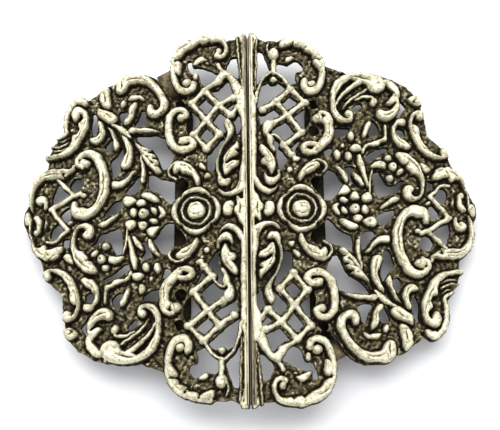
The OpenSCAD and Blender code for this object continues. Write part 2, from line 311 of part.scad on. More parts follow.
module stem(widths, h, balls, spine) {
    last = len(spine) - 1;
    for (k = [0 : last - 1]) hull() polyhedron(
        concat(section(spine, k, width(widths, k / last), h), section(spine, k + 1, width(widths, (k + 1) / last), h)),
        [[0, 1, 2], [5, 4, 3], [0, 3, 4, 1], [1, 4, 5, 2], [2, 5, 3, 0]]);
    if (balls[0] > 0) post(spine[0], balls[0], h + 0.2, 6);
    if (balls[1] > 0) post(spine[last], balls[1], h + 0.2, 6);
}

module bead(p, r, turn, h) translate([p[0], p[1], 0]) rotate(turn) scale([r[0], r[1], 1])
    cylinder(r1 = 1, r2 = 0.5, h = h * relief, $fn = 6);

module ground() linear_extrude(ground_t) difference() {
    polygon(OUTLINE);
    for (g = GAPS) polygon(g[1]);
}

module lattice(knots, bars) {
    for (b = bars) stem([0.9, 0.8, 0.9], 2, [0, 0], [knots[b[0]], knots[b[1]]]);
    for (k = knots) post(k, 0.9, 2.2, 4);
}

// A closed outline with four lobes, grown by d.
function lobed(d) = [
    for (a = [0 : 22.5 : 337.5]) (lobe_r + lobe_out * sqrt(abs(cos(2 * a))) + d) * [cos(a), sin(a)]];

module rosette() translate([-10.9, -0.1, 0]) {
    linear_extrude(2.6 * relief) difference() {
        polygon(lobed(0.4));
        polygon(lobed(-0.4));
    }
    linear_extrude(2.4 * relief) difference() {
        circle(r = ring_r + 0.2, $fn = 12);
        circle(r = ring_r - 0.2, $fn = 12);
    }
    cylinder(r1 = boss_r, r2 = boss_r * 0.5, h = 3.2 * relief, $fn = 8);
}

module ribs() translate([-seam_gap / 2, rib_l / 2, 0]) rotate([90, 0, 0]) linear_extrude(rib_l)
    polygon(concat([[0, 0]], [for (r = RIBS) [-r[0], rib_h * r[1]]], [[-1.9, 0]]));

module casting() {
    ground();
    for (s = STEMS) if (s[1][1] >= finest) stem(s[1], s[2], s[3], s[4]);
    for (b = concat(BEADS, PETALS)) if (min(b[1]) >= finest) bead(b[0], b[1], b[2], b[3]);
    lattice(UPPER_KNOTS, UPPER_BARS);
    lattice(LOWER_KNOTS, LOWER_BARS);
    rosette();
    ribs();
}

// The flat bar behind the casting, and the two bent feet that are soldered to its back.
FEET = [[[-17.6, 31.4], 27], [[-18.6, -31], -27]];
module belt_bar() {
    translate([-bar_x - bar_w / 2, -bar_l / 2, 0]) cube([bar_w, bar_l, bar_t]);
    for (f = FEET) {
        hull() {
            translate([-bar_x - bar_w / 2, f[1] - bar_w / 2, 0]) cube([bar_w, bar_w, bar_t]);
            translate([-bar_x - 1.6, f[1] + sign(f[1]) * 1.4, 2.2]) cylinder(r = 2.2, h = 0.4, $fn = 12);
        }
        hull() {
            translate([-bar_x - 1.6, f[1] + sign(f[1]) * 1.4, 2.2]) cylinder(r = 2.2, h = 0.4, $fn = 12);
            on_slope() translate([f[0][0], f[0][1], -bar_t]) cylinder(r = 2.4, h = bar_t + 0.3, $fn = 12);
        }
    }
}

module on_slope() translate([0, 0, seam_z]) rotate([0, -slope, 0]) children();

module half() {
    on_slope() casting();
    belt_bar();
}

module left_half() color(SILVER) half();

module right_half() color(SILVER) rotate(180) half();

// Hidden behind the seam, so it is one plain strip that follows both slopes.
module clasp_hook() color(BRONZE) rotate([90, 0, 0]) translate([0, 0, -clasp_w / 2]) linear_extrude(clasp_w) {
    top = seam_z - clasp_gap;
    drop = clasp_reach * tan(slope);
    polygon([[0, top], [-clasp_reach, top - drop], [-clasp_reach, top - drop - clasp_t], [0, top - clasp_t],
        [clasp_reach, top - drop - clasp_t], [clasp_reach, top - drop]]);
}

left_half();
right_half();
clasp_hook();
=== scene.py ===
"""A nurse's clasp buckle: two like castings of antiqued silver, hooked together at a ribbed seam."""

import math

import bpy
import numpy as np
from mathutils import Matrix, Vector
from mathutils.geometry import delaunay_2d_cdt


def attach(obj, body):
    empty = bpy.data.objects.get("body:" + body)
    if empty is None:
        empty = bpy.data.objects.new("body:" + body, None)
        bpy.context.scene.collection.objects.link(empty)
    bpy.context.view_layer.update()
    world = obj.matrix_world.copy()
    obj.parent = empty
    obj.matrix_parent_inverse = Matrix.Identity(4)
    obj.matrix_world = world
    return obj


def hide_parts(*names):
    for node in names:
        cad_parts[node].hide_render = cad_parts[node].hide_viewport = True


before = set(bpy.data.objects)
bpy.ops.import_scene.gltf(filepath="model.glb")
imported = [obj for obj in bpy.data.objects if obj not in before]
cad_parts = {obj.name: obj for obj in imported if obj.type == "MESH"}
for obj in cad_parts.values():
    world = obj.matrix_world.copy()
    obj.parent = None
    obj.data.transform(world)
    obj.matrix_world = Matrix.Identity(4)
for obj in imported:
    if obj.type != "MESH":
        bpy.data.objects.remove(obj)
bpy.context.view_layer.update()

# Camera
# A 64 mm lens, 185 mm from the buckle, leaning 18 degrees towards its lower edge, with the small turn
# and roll of a camera that was held by hand. The photo fits a lean of 12 to 24 degrees equally well.
MM = 0.001
FRAME_WIDTH, PIXELS_PER_MM = 500, 4.84  # the scale is the one at the aim
SENSOR_WIDTH = 36  # mm
AIM = Vector((0.24, -1.72, 9.4))  # mm
DISTANCE = 185  # mm
TILT, TURN, ROLL = 18, 0.89, 0.6  # degrees

turned = Matrix.Rotation(math.radians(TURN), 3, "Y")
tilt = math.radians(TILT)
forward = turned @ Vector((0, math.sin(tilt), -math.cos(tilt)))
right = turned @ Vector((1, 0, 0))
down = turned @ Vector((0, -math.cos(tilt), -math.sin(tilt)))
roll = math.radians(ROLL)
across = right * math.cos(roll) + down * math.sin(roll)
upward = right * math.sin(roll) - down * math.cos(roll)

camera = bpy.data.objects.new("camera", bpy.data.cameras.new("camera"))
bpy.context.collection.objects.link(camera)
camera.data.sensor_width = SENSOR_WIDTH
camera.data.lens = PIXELS_PER_MM * DISTANCE * SENSOR_WIDTH / FRAME_WIDTH
camera.data.clip_start, camera.data.clip_end = 0.01, 10
stand = Matrix((across, upward, -forward)).transposed().to_4x4()
stand.translation = (AIM - forward * DISTANCE) * MM
camera.matrix_world = stand
bpy.context.scene.camera = camera

# Table and light
# A sheet of white card under the buckle, lit by a big soft window above its upper edge
# and by the pale room round it.


class Wire:
    """One socket of a finish's nodes; Python's operators on it are Math nodes."""

    def __init__(self, finish, socket):
        self.finish, self.socket = finish, socket

    def math(self, operation, *values):
        return self.finish.add("ShaderNodeMath", {"operation": operation}, dict(enumerate(values)))

    def __add__(self, other):
        return self.math("ADD", self, other)

    def __sub__(self, other):
        return self.math("SUBTRACT", self, other)

    def __rsub__(self, other):
        return self.math("SUBTRACT", other, self)

    def __mul__(self, other):
        return self.math("MULTIPLY", self, other)

    __radd__, __rmul__ = __add__, __mul__

    def between(self, low, high):
        """0 below low, 1 above high, smooth in between."""
        sockets = {"Value": self, "From Min": low, "From Max": high}
        return self.finish.add("ShaderNodeMapRange", {"interpolation_type": "SMOOTHSTEP"}, sockets, "Result")


class Finish:
    """A material with a Principled surface, for the card and for all the pieces below."""

    def __init__(self, name):
        self.material = bpy.data.materials.new(name)
        self.material.use_nodes = True
        self.tree = self.material.node_tree
        self.tree.nodes.clear()
        self.out = self.tree.nodes.new("ShaderNodeOutputMaterial")

    def add(self, kind, settings=None, sockets=None, output=0):
        """A node of any kind; a socket's value is a number, a colour or a Wire."""
        node = self.tree.nodes.new(kind)
        for name, value in (settings or {}).items():
            setattr(node, name, value)
        for name, value in (sockets or {}).items():
            if isinstance(value, Wire):
                self.tree.links.new(value.socket, node.inputs[name])
            else:
                node.inputs[name].default_value = value
        return Wire(self, node.outputs[output])

    def ramp(self, stops, value):
        """A colour ramp; its stops are places from 0 to 1, each with a colour."""
        wire = self.add("ShaderNodeValToRGB", sockets={"Fac": value}, output="Color")
        elements = wire.socket.node.color_ramp.elements
        while len(elements) < len(stops):
            elements.new(0.5)
        for element, (spot, colour) in zip(elements, stops):
            element.position = spot
            element.color = (*colour, 1)
        return wire

    def surface(self, **sockets):
        named = {name.replace("_", " "): value for name, value in sockets.items()}
        shader = self.add("ShaderNodeBsdfPrincipled", sockets=named)
        self.tree.links.new(shader.socket, self.out.inputs["Surface"])
        return self.material


def noise(finish, scale, detail=3):
    """Noise on the piece's own coordinates; scale is in waves a millimetre."""
    spot = finish.add("ShaderNodeTexCoord", output="Object")
    sockets = {"Vector": spot, "Scale": scale / MM, "Detail": detail, "Roughness": 0.6}
    return finish.add("ShaderNodeTexNoise", sockets=sockets, output="Fac")


CARD_HALF = 3  # half the card's side, metres
card = Finish("white_card")
card_tone = card.ramp([(0, (0.80, 0.80, 0.80)), (1, (0.86, 0.86, 0.86))], noise(card, 0.12))
card.surface(Base_Color=card_tone, Roughness=0.8)
sheet = bpy.data.meshes.new("table")
corners = [(x * CARD_HALF, y * CARD_HALF, 0) for x, y in ((-1, -1), (1, -1), (1, 1), (-1, 1))]
sheet.from_pydata(corners, [], [(0, 1, 2, 3)])
sheet.materials.append(card.material)
table = bpy.data.objects.new("table", sheet)
bpy.context.collection.objects.link(table)

# The window faces the buckle.
WINDOW_POWER = 12.0  # watts
WINDOW_SIZE, WINDOW_PLACE = (1.4, 0.8), Vector((-0.05, 0.5, 0.76))  # metres
window = bpy.data.objects.new("window", bpy.data.lights.new("window", "AREA"))
window.data.energy, window.data.shape = WINDOW_POWER, "RECTANGLE"
window.data.size, window.data.size_y = WINDOW_SIZE
window.location = WINDOW_PLACE
window.rotation_mode = "QUATERNION"
window.rotation_quaternion = (-WINDOW_PLACE).to_track_quat("-Z", "Y")
bpy.context.collection.objects.link(window)

ROOM_COLOUR, ROOM_STRENGTH = (0.96, 0.97, 1, 1), 0.93
world = bpy.context.scene.world or bpy.data.worlds.new("room")
bpy.context.scene.world = world
world.use_nodes = True
room = world.node_tree.nodes["Background"].inputs
room["Color"].default_value = ROOM_COLOUR
room["Strength"].default_value = ROOM_STRENGTH
bpy.context.scene.view_settings.view_transform = "Standard"

# The two castings
# Each half is one casting, of silver or silvered: a thin matted ground, pierced between raised
# scrolls, leaves, flowers and lattice, whose tops are rubbed bright while the hollows stay black.
# Both come from one pattern, so the right half is the left one turned half round.
GROUND = 1.2  # height of the ground over the casting's back, mm
SLOPE, SEAM_Z = 5.5, 7.2  # fall away from the seam in degrees, height of the back at the seam in mm
BLACKENED = 0.275  # how bright the ground is left, from 0 to the 1 of a rubbed crest

# The left half is drawn from above in mm, with the seam along x = 0 and the wearer's head towards +y.
# Its outline runs from the seam's upper end round to the lower one.
OUTLINE = [(-1, 39.9), (-2.3, 39.9), (-3.4, 39.6), (-5.4, 39.6), (-9, 40.2), (-12.6, 39.2), (-15.4, 36.8),
    (-16.9, 33.5), (-16.8, 30.6), (-15.4, 27.9), (-13.6, 26.2), (-14.6, 25.5), (-16.6, 26), (-17.8, 28),
    (-19.2, 30.3), (-20.8, 31.6), (-23, 32.4), (-26, 32.2), (-28.4, 30.8), (-31, 30), (-33, 28.4),
    (-35.5, 26.8), (-37.4, 26.9), (-39, 25.4), (-40.1, 23), (-40.2, 20), (-41.4, 17.8), (-42.8, 16.2),
    (-43.6, 14), (-43.8, 11), (-45.4, 8.6), (-46.8, 6), (-47.3, 2.8), (-48.4, 0.8), (-48, -2),
    (-46.8, -4.6), (-45.2, -8), (-43.6, -10.2), (-42.8, -13), (-41.2, -15.2), (-38.8, -17),
    (-38.6, -20.6), (-38, -23.4), (-37.6, -26.2), (-35, -28.8), (-31.8, -30.6), (-29, -31.4),
    (-24.6, -31.4), (-22.4, -31.1), (-20.8, -32.3), (-18.8, -32.8), (-17.3, -33.4), (-15.8, -36),
    (-13.4, -38.2), (-10, -39.4), (-6, -39.4), (-3.4, -39.2), (-2.3, -39.9), (-1, -39.9)]

# What is cut right through: name, corners.
GAPS = [
    ("upper lobe", [(-13.4, 35.2), (-12.1, 35.3), (-12.3, 34), (-10.4, 33.7), (-8.8, 32.9), (-7.2, 32),
        (-6, 31.6), (-6.8, 30.2), (-8.4, 28.5), (-9.4, 28.9), (-10.2, 29.6), (-10.5, 31.2), (-11.6, 31.4),
        (-12.6, 32.2), (-13.3, 33.6)]),
    ("upper seam", [(-4.8, 33.2), (-3.4, 35.6), (-2.3, 35.6), (-1.7, 30), (-3, 30.6), (-4.4, 32)]),
    ("upper lattice", [(-4.6, 30), (-2.2, 27.4), (-1.7, 23), (-1.4, 18.6), (-2.4, 16.4), (-3, 20.4),
        (-4.6, 20.6), (-5.2, 15), (-6.6, 11), (-7.4, 8.8), (-8.6, 9), (-9, 11.6), (-8.6, 14),
        (-9.2, 14.6), (-11, 16.8), (-12.8, 16.6), (-13.4, 19), (-13, 22.6), (-11, 24.4), (-9, 26.4),
        (-8.1, 27.6), (-6.4, 27.8)]),
    ("bar above", [(-15.8, 25.2), (-14.4, 25.6), (-13.4, 24.6), (-14.2, 23.4), (-15.6, 23.6)]),
    ("rosette above", [(-16, 7), (-13.8, 7.6), (-12.6, 6.4), (-13.2, 4.4), (-15.4, 3), (-16.6, 1.6),
        (-18, 3.4), (-19.5, 4.7), (-21.4, 5.4), (-21.7, 8.9), (-20.6, 8.8), (-18.5, 7.6)]),
    ("rosette below", [(-20.3, -5.6), (-18.8, -3.5), (-17.2, -2.1), (-15.6, -2.4), (-14, -4.6),
        (-12.8, -6.2), (-13.6, -7.4), (-15.4, -7.6), (-16.8, -9.2), (-18.2, -9)]),
    ("leaf fan", [(-24.8, 18), (-20, 17.9), (-18, 17.2), (-17.4, 14.8), (-15.8, 13), (-16.2, 11.6),
        (-17.3, 9.8), (-18.2, 9.6), (-18.9, 11), (-19.6, 13), (-20.9, 14.3), (-22.6, 15.2),
        (-23.9, 16.5)]),
    ("fan left", [(-30.1, 12), (-28.6, 13.6), (-27.6, 15.8), (-26.9, 14), (-27.4, 11), (-27.6, 9.2),
        (-28.6, 8.2), (-29.4, 9.2)]),
    ("fan top", [(-31.6, 15.4), (-30, 17.6), (-29.2, 16.5), (-29.4, 14.8), (-30.6, 14.3)]),
    ("under fan", [(-23.3, 9), (-24.6, 7.4), (-26.5, 5), (-26, 4.2), (-24.5, 4.3), (-23.2, 5), (-23, 7)]),
    ("big scroll foot", [(-28.4, 3.2), (-30.4, 1.2), (-31.4, -0.6), (-28.7, 0), (-27, 1), (-26.5, 2),
        (-27.3, 3.1)]),
    ("flower left", [(-31.8, -4.2), (-27.3, -2.6), (-26.6, -5.4), (-26.3, -8.4), (-28, -9), (-28.7, -7.2),
        (-29.3, -6), (-30.8, -5.7), (-32.4, -7), (-33.8, -6.8), (-32.4, -5.6)]),
    ("flower below", [(-23, -6), (-21.8, -6), (-20.9, -7.5), (-20.2, -9.6), (-21.5, -10), (-23.2, -9.7),
        (-21.9, -8.8)]),
    ("spray left", [(-25, -10.7), (-25, -12.4), (-27.6, -14.2), (-30, -14.6), (-30.6, -13.8),
        (-28, -12.6), (-26.3, -11)]),
    ("spray right", [(-17.6, -12), (-16.4, -12), (-16, -13.1), (-17.2, -14.2), (-18.3, -14.4)]),
    ("spray foot", [(-22, -18), (-20.2, -16.4), (-18.1, -16.2), (-18.2, -18.8), (-19.9, -19),
        (-22, -18.8)]),
    ("fan foot", [(-28.5, -18.4), (-27.6, -17.2), (-25.8, -16.8), (-26, -18.6), (-26.7, -20.4),
        (-27, -21), (-28, -19.8)]),
    ("shell eye", [(-25, -24.2), (-24, -22.7), (-22.9, -22.4), (-22.6, -23.4), (-23.6, -24.7),
        (-24.6, -25)]),
    ("bar eye", [(-15.4, -17.8), (-14.6, -16.6), (-13.4, -16.5), (-12.7, -17.6), (-13.2, -18.9),
        (-14.6, -19.2)]),
    ("bar below", [(-15.6, -23.4), (-14, -22.8), (-12.9, -24), (-13.2, -25), (-14.6, -25.2)]),
    ("lower lattice", [(-9.4, -12.6), (-7.2, -9.4), (-6.5, -8.4), (-6.2, -10), (-5.8, -12.6), (-5, -14.6),
        (-5, -19.4), (-2.7, -19), (-2.3, -21), (-1.7, -25), (-3, -28.4), (-5.6, -30.4), (-8.2, -28.2),
        (-9, -27.4), (-11, -25.6), (-12.2, -24.4), (-13.4, -22.4), (-13.6, -20.4), (-12.8, -19),
        (-11.4, -17.6), (-11, -15.2)]),
    ("lower lobe", [(-10.8, -29.2), (-9.2, -28.6), (-7.8, -30), (-6.3, -31.4), (-6.1, -33), (-6.8, -34.2),
        (-8.2, -33.8), (-9.7, -34.8), (-11.2, -34.8), (-12.4, -33.4), (-12, -32.2), (-10.5, -31.8),
        (-10.5, -30.4)]),
    ("lower seam", [(-5, -32), (-3.6, -30.4), (-1.7, -28.2), (-1.8, -31), (-1.8, -35.6), (-2.4, -37),
        (-3.3, -36.6), (-4.2, -34.2)]),
    ("top leaf left", [(-28.4, 23.8), (-26.6, 24.1), (-26.2, 23), (-26.9, 20.5), (-27.6, 20.9),
        (-28.2, 22.3)]),
    ("top leaf right", [(-23.3, 24.3), (-22.5, 23.6), (-22.2, 22), (-21.5, 20.6), (-23, 19.9),
        (-25.2, 19.9), (-24.3, 21.8)]),
    ("long slit", [(-34.2, 24.6), (-33.5, 23.2), (-32.9, 21), (-33.2, 18.8), (-34, 18), (-34.6, 19.8),
        (-34.4, 22.4)]),
    ("tip lattice a", [(-42.5, 4), (-41.4, 7.6), (-39.6, 7.2), (-37.9, 4.6), (-39.8, 3.4), (-41.4, 2),
        (-42.3, 2.3)]),
    ("tip lattice b", [(-38.8, 7), (-37.6, 8.7), (-36.2, 8.8), (-35.4, 7.4), (-35.9, 6), (-37.2, 5)]),
    ("tip lattice c", [(-40.6, 0.6), (-38.8, 2.2), (-37.9, 2), (-37.7, 0.6), (-38.2, -1.2),
        (-39.2, -1.4)]),
    ("tip lattice d", [(-42.3, -3), (-41.4, -1.6), (-40.2, -1.6), (-39.3, -3), (-40.4, -5), (-41.5, -5.5),
        (-42.3, -4.6)]),
    ("tip lattice e", [(-39.4, -5), (-38.2, -4.9), (-37.9, -6.9), (-39.9, -7)]),
    ("lower curl", [(-34.2, -17.2), (-33, -16.5), (-32, -17.3), (-31.8, -18.8), (-33, -19),
        (-34, -18.6)]),
    ("lower slit", [(-33.4, -21.8), (-32.6, -21.2), (-31.9, -22), (-32.8, -24), (-33, -25.8),
        (-33.8, -25.6), (-34.8, -24), (-33.9, -22.8)]),
]

# Raised stems: name, widths at the start, middle and end, height over the back, radii of the balls at the
# two ends, how it is chased, and the line that it follows.
STEMS = [
    ("lower hook", (0.6, 0.6, 0.5), 2.2, (0, 0), "round", [(-7.5, -14.2), (-6.6, -15.6), (-5.4, -16.6),
        (-4.5, -16.4)]),
    ("lower lobe stem", (0.8, 1, 1), 2.1, (0, 0), "round", [(-5.7, -31), (-5.5, -33), (-5.6, -34.6)]),
    ("upper lobe stem", (0.7, 0.7, 0.8), 2.1, (0, 0.7), "round", [(-5.4, 31.9), (-6, 32.8),
        (-6.3, 33.5)]),
    ("scroll over rosette", (0.5, 0.6, 0.6), 2.3, (0, 0), "round", [(-15.2, 7.1), (-16.6, 7.8),
        (-16.8, 9.4), (-15.4, 10.7), (-13.6, 10.8)]),
    ("scroll under rosette", (0.5, 0.6, 0.6), 2.3, (0, 0), "round", [(-15.8, -8.2), (-16.6, -9.6),
        (-15.6, -10.8), (-13.8, -10.8), (-12.2, -9.8)]),
    ("scroll by upper lattice", (1.1, 1.5, 1.2), 2.9, (1.15, 0.9), "band", [(-14.4, 21), (-13.3, 21.6),
        (-14, 22.8), (-15.6, 22.8), (-16.8, 21.4), (-17.1, 19.2), (-16.9, 17), (-16.2, 15), (-14.6, 13.8),
        (-12.7, 13.8), (-11.7, 14.9), (-12.5, 16), (-14, 15.9)]),
    ("hub", (0.7, 1.2, 0.7), 2, (0, 0), "round", [(-29.6, 20.6), (-27.4, 19.2), (-25.6, 17.4)]),
    ("twig a", (0.5, 0.6, 0.5), 2, (0, 0), "round", [(-25.6, -3.6), (-25.6, -6.4), (-26.3, -8.9)]),
    ("ribbed leaf c", (0.7, 1.6, 0.6), 2.7, (0, 0), "plain", [(-35.4, -10.4), (-34, -11.5),
        (-31.8, -11.9)]),
    ("upper left rim", (0.6, 1, 1.2), 2.3, (0, 0), "plain", [(-41.6, 17.7), (-39.9, 18.8), (-40.1, 21),
        (-39.9, 23.2), (-39.1, 25.2), (-37.6, 26.5), (-35.9, 26)]),
    ("twig by big scroll", (0.7, 0.8, 0.6), 2.4, (0, 0), "round", [(-37.6, 11.3), (-38.2, 10.2),
        (-39.3, 9)]),
    ("tip lattice a", (0.8, 0.8, 0.8), 2, (0, 0), "round", [(-41.4, 8.6), (-39.5, 6.6), (-37.3, 4.5)]),
    ("tip lattice b", (0.9, 0.9, 0.9), 2.1, (0, 0), "round", [(-42.4, 1.6), (-40, 2.9), (-37.3, 4.5),
        (-36, 4.9)]),
    ("tip lattice c", (0.9, 0.9, 0.8), 2.1, (0, 0), "round", [(-42, 1.6), (-41.2, 0), (-39.6, -1.6),
        (-38.2, -3.2)]),
    ("tip lattice d", (0.8, 0.7, 0.6), 2, (0, 0), "round", [(-38.2, -3), (-39.6, -4.2), (-41, -5.6),
        (-42.8, -5.6)]),
    ("shell flute a", (1.1, 0.8, 0.5), 2.6, (0, 0), "round", [(-24.4, -29.4), (-22, -27.6),
        (-20.2, -25.8), (-19, -23.8)]),
    ("shell flute b", (0.9, 0.7, 0.5), 2.5, (0, 0), "round", [(-22, -30.4), (-20.6, -29), (-19.6, -27.4),
        (-18.8, -25.8)]),
    ("shell flute c", (0.6, 0.6, 0.4), 2.2, (0, 0), "round", [(-25.8, -27.6), (-23.4, -26),
        (-21.6, -24.4), (-20.4, -22.8)]),
    ("shell inner curl", (0.5, 0.7, 0.5), 2, (0, 0), "round", [(-28, -24.8), (-26.8, -26), (-25, -26),
        (-23.4, -25.2)]),
    ("flute a", (0.45, 0.5, 0.4), 1.9, (0, 0), "round", [(-42.9, 15.9), (-41, 16), (-39.1, 16.9)]),
    ("flute b", (0.45, 0.5, 0.4), 1.9, (0, 0), "round", [(-42.7, 15), (-40.8, 15.1), (-39, 16)]),
    ("flute c", (0.4, 0.5, 0.4), 1.9, (0, 0), "round", [(-41.6, 17.1), (-40.4, 17.2), (-39.4, 17.9)]),
    ("scroll by lower lattice foot", (1, 1, 0.9), 2.8, (0, 0), "plain", [(-17.5, -18.4), (-17.6, -20),
        (-16.9, -21.4), (-15.6, -21.8)]),
    ("scroll by lower lattice back", (1.4, 1.8, 1.4), 2.9, (0, 0), "plain", [(-17, -19.6), (-17.4, -17.8),
        (-16.8, -16), (-15.6, -14.5), (-14.2, -13.2)]),
    ("shell back", (1.1, 0.6, 0.7), 2.5, (0, 0), "plain", [(-30.3, -29.6), (-31.9, -27.8), (-32.6, -25.4),
        (-32.8, -23.4)]),
    ("shell rim", (1, 1.5, 1.3), 2.85, (0, 0.8), "plain", [(-18.4, -26.6), (-19.2, -28.6), (-20.8, -30),
        (-23, -30.8), (-25.8, -30.9), (-28.2, -30.3), (-29.3, -29.2), (-28.9, -28), (-27.7, -27.6),
        (-26.8, -28.2)]),
    ("big scroll curl", (0.9, 0.9, 0.8), 2.85, (0, 0), "plain", [(-36, 13.7), (-36.9, 12.5),
        (-36.7, 11.2), (-35.7, 10.6)]),
    ("upper lobe curl", (0.8, 0.9, 1), 2.7, (0, 0), "plain", [(-4.6, 37.4), (-4.6, 36.2), (-5.2, 35.4),
        (-6, 35.2), (-6.7, 35.7)]),
    ("upper lobe side", (0.8, 1.2, 1.2), 2.8, (0, 0), "plain", [(-16.3, 35), (-16.4, 33), (-16.2, 31),
        (-15.6, 29.2), (-14.6, 27.9), (-13.2, 27.3), (-12, 27.8), (-11.6, 29)]),
    ("upper lobe rib", (0.5, 0.5, 0.4), 2.1, (0, 0), "round", [(-2.1, 40), (-1.9, 37), (-1.6, 33),
        (-1.4, 29.5)]),
    ("lower lobe rib", (0.4, 0.5, 0.5), 2.1, (0, 0), "round", [(-1.5, -27), (-1.6, -31), (-1.7, -35),
        (-1.9, -39.4)]),
    ("lower lobe curl", (1.2, 1.5, 1.3), 2.85, (0, 0), "plain", [(-16.3, -31.6), (-16.1, -29.8),
        (-15.4, -28.2), (-14.3, -27.2), (-13, -27.1), (-12.2, -28.1), (-12.3, -29.4)]),
    ("lower lobe rim", (0.5, 0.4, 0.3), 2, (0, 0), "round", [(-16.9, -33), (-15.9, -35.9), (-13.9, -38),
        (-11, -39.2), (-8.4, -39.5)]),
    ("lower lobe hook", (0.4, 0.5, 0.4), 2.4, (0, 0), "round", [(-4.4, -35.6), (-4.1, -37.2),
        (-4.7, -38.7)]),
    ("lower arch foot", (0.6, 0.6, 0.7), 2.3, (0, 0), "round", [(-1.6, -24), (-2, -26.6), (-3, -29.2),
        (-4.4, -30.9), (-5.8, -31.1), (-7.2, -30.2), (-8.4, -28.7), (-9, -27.6)]),
    ("tip edge", (0.5, 0.5, 0.5), 2.2, (0, 0), "round", [(-46.6, -1.2), (-46.5, -3.4), (-45.9, -5.4)]),
    ("tip second leaf", (0.3, 0.6, 0.3), 2.4, (0, 0), "round", [(-43.2, -0.5), (-43, -1.8),
        (-43.4, -3.4)]),
    ("upper rim", (0.3, 0.4, 0.3), 1.7, (0, 0), "round", [(-22.4, 31.4), (-20.6, 29.6), (-19.2, 27.4)]),
]

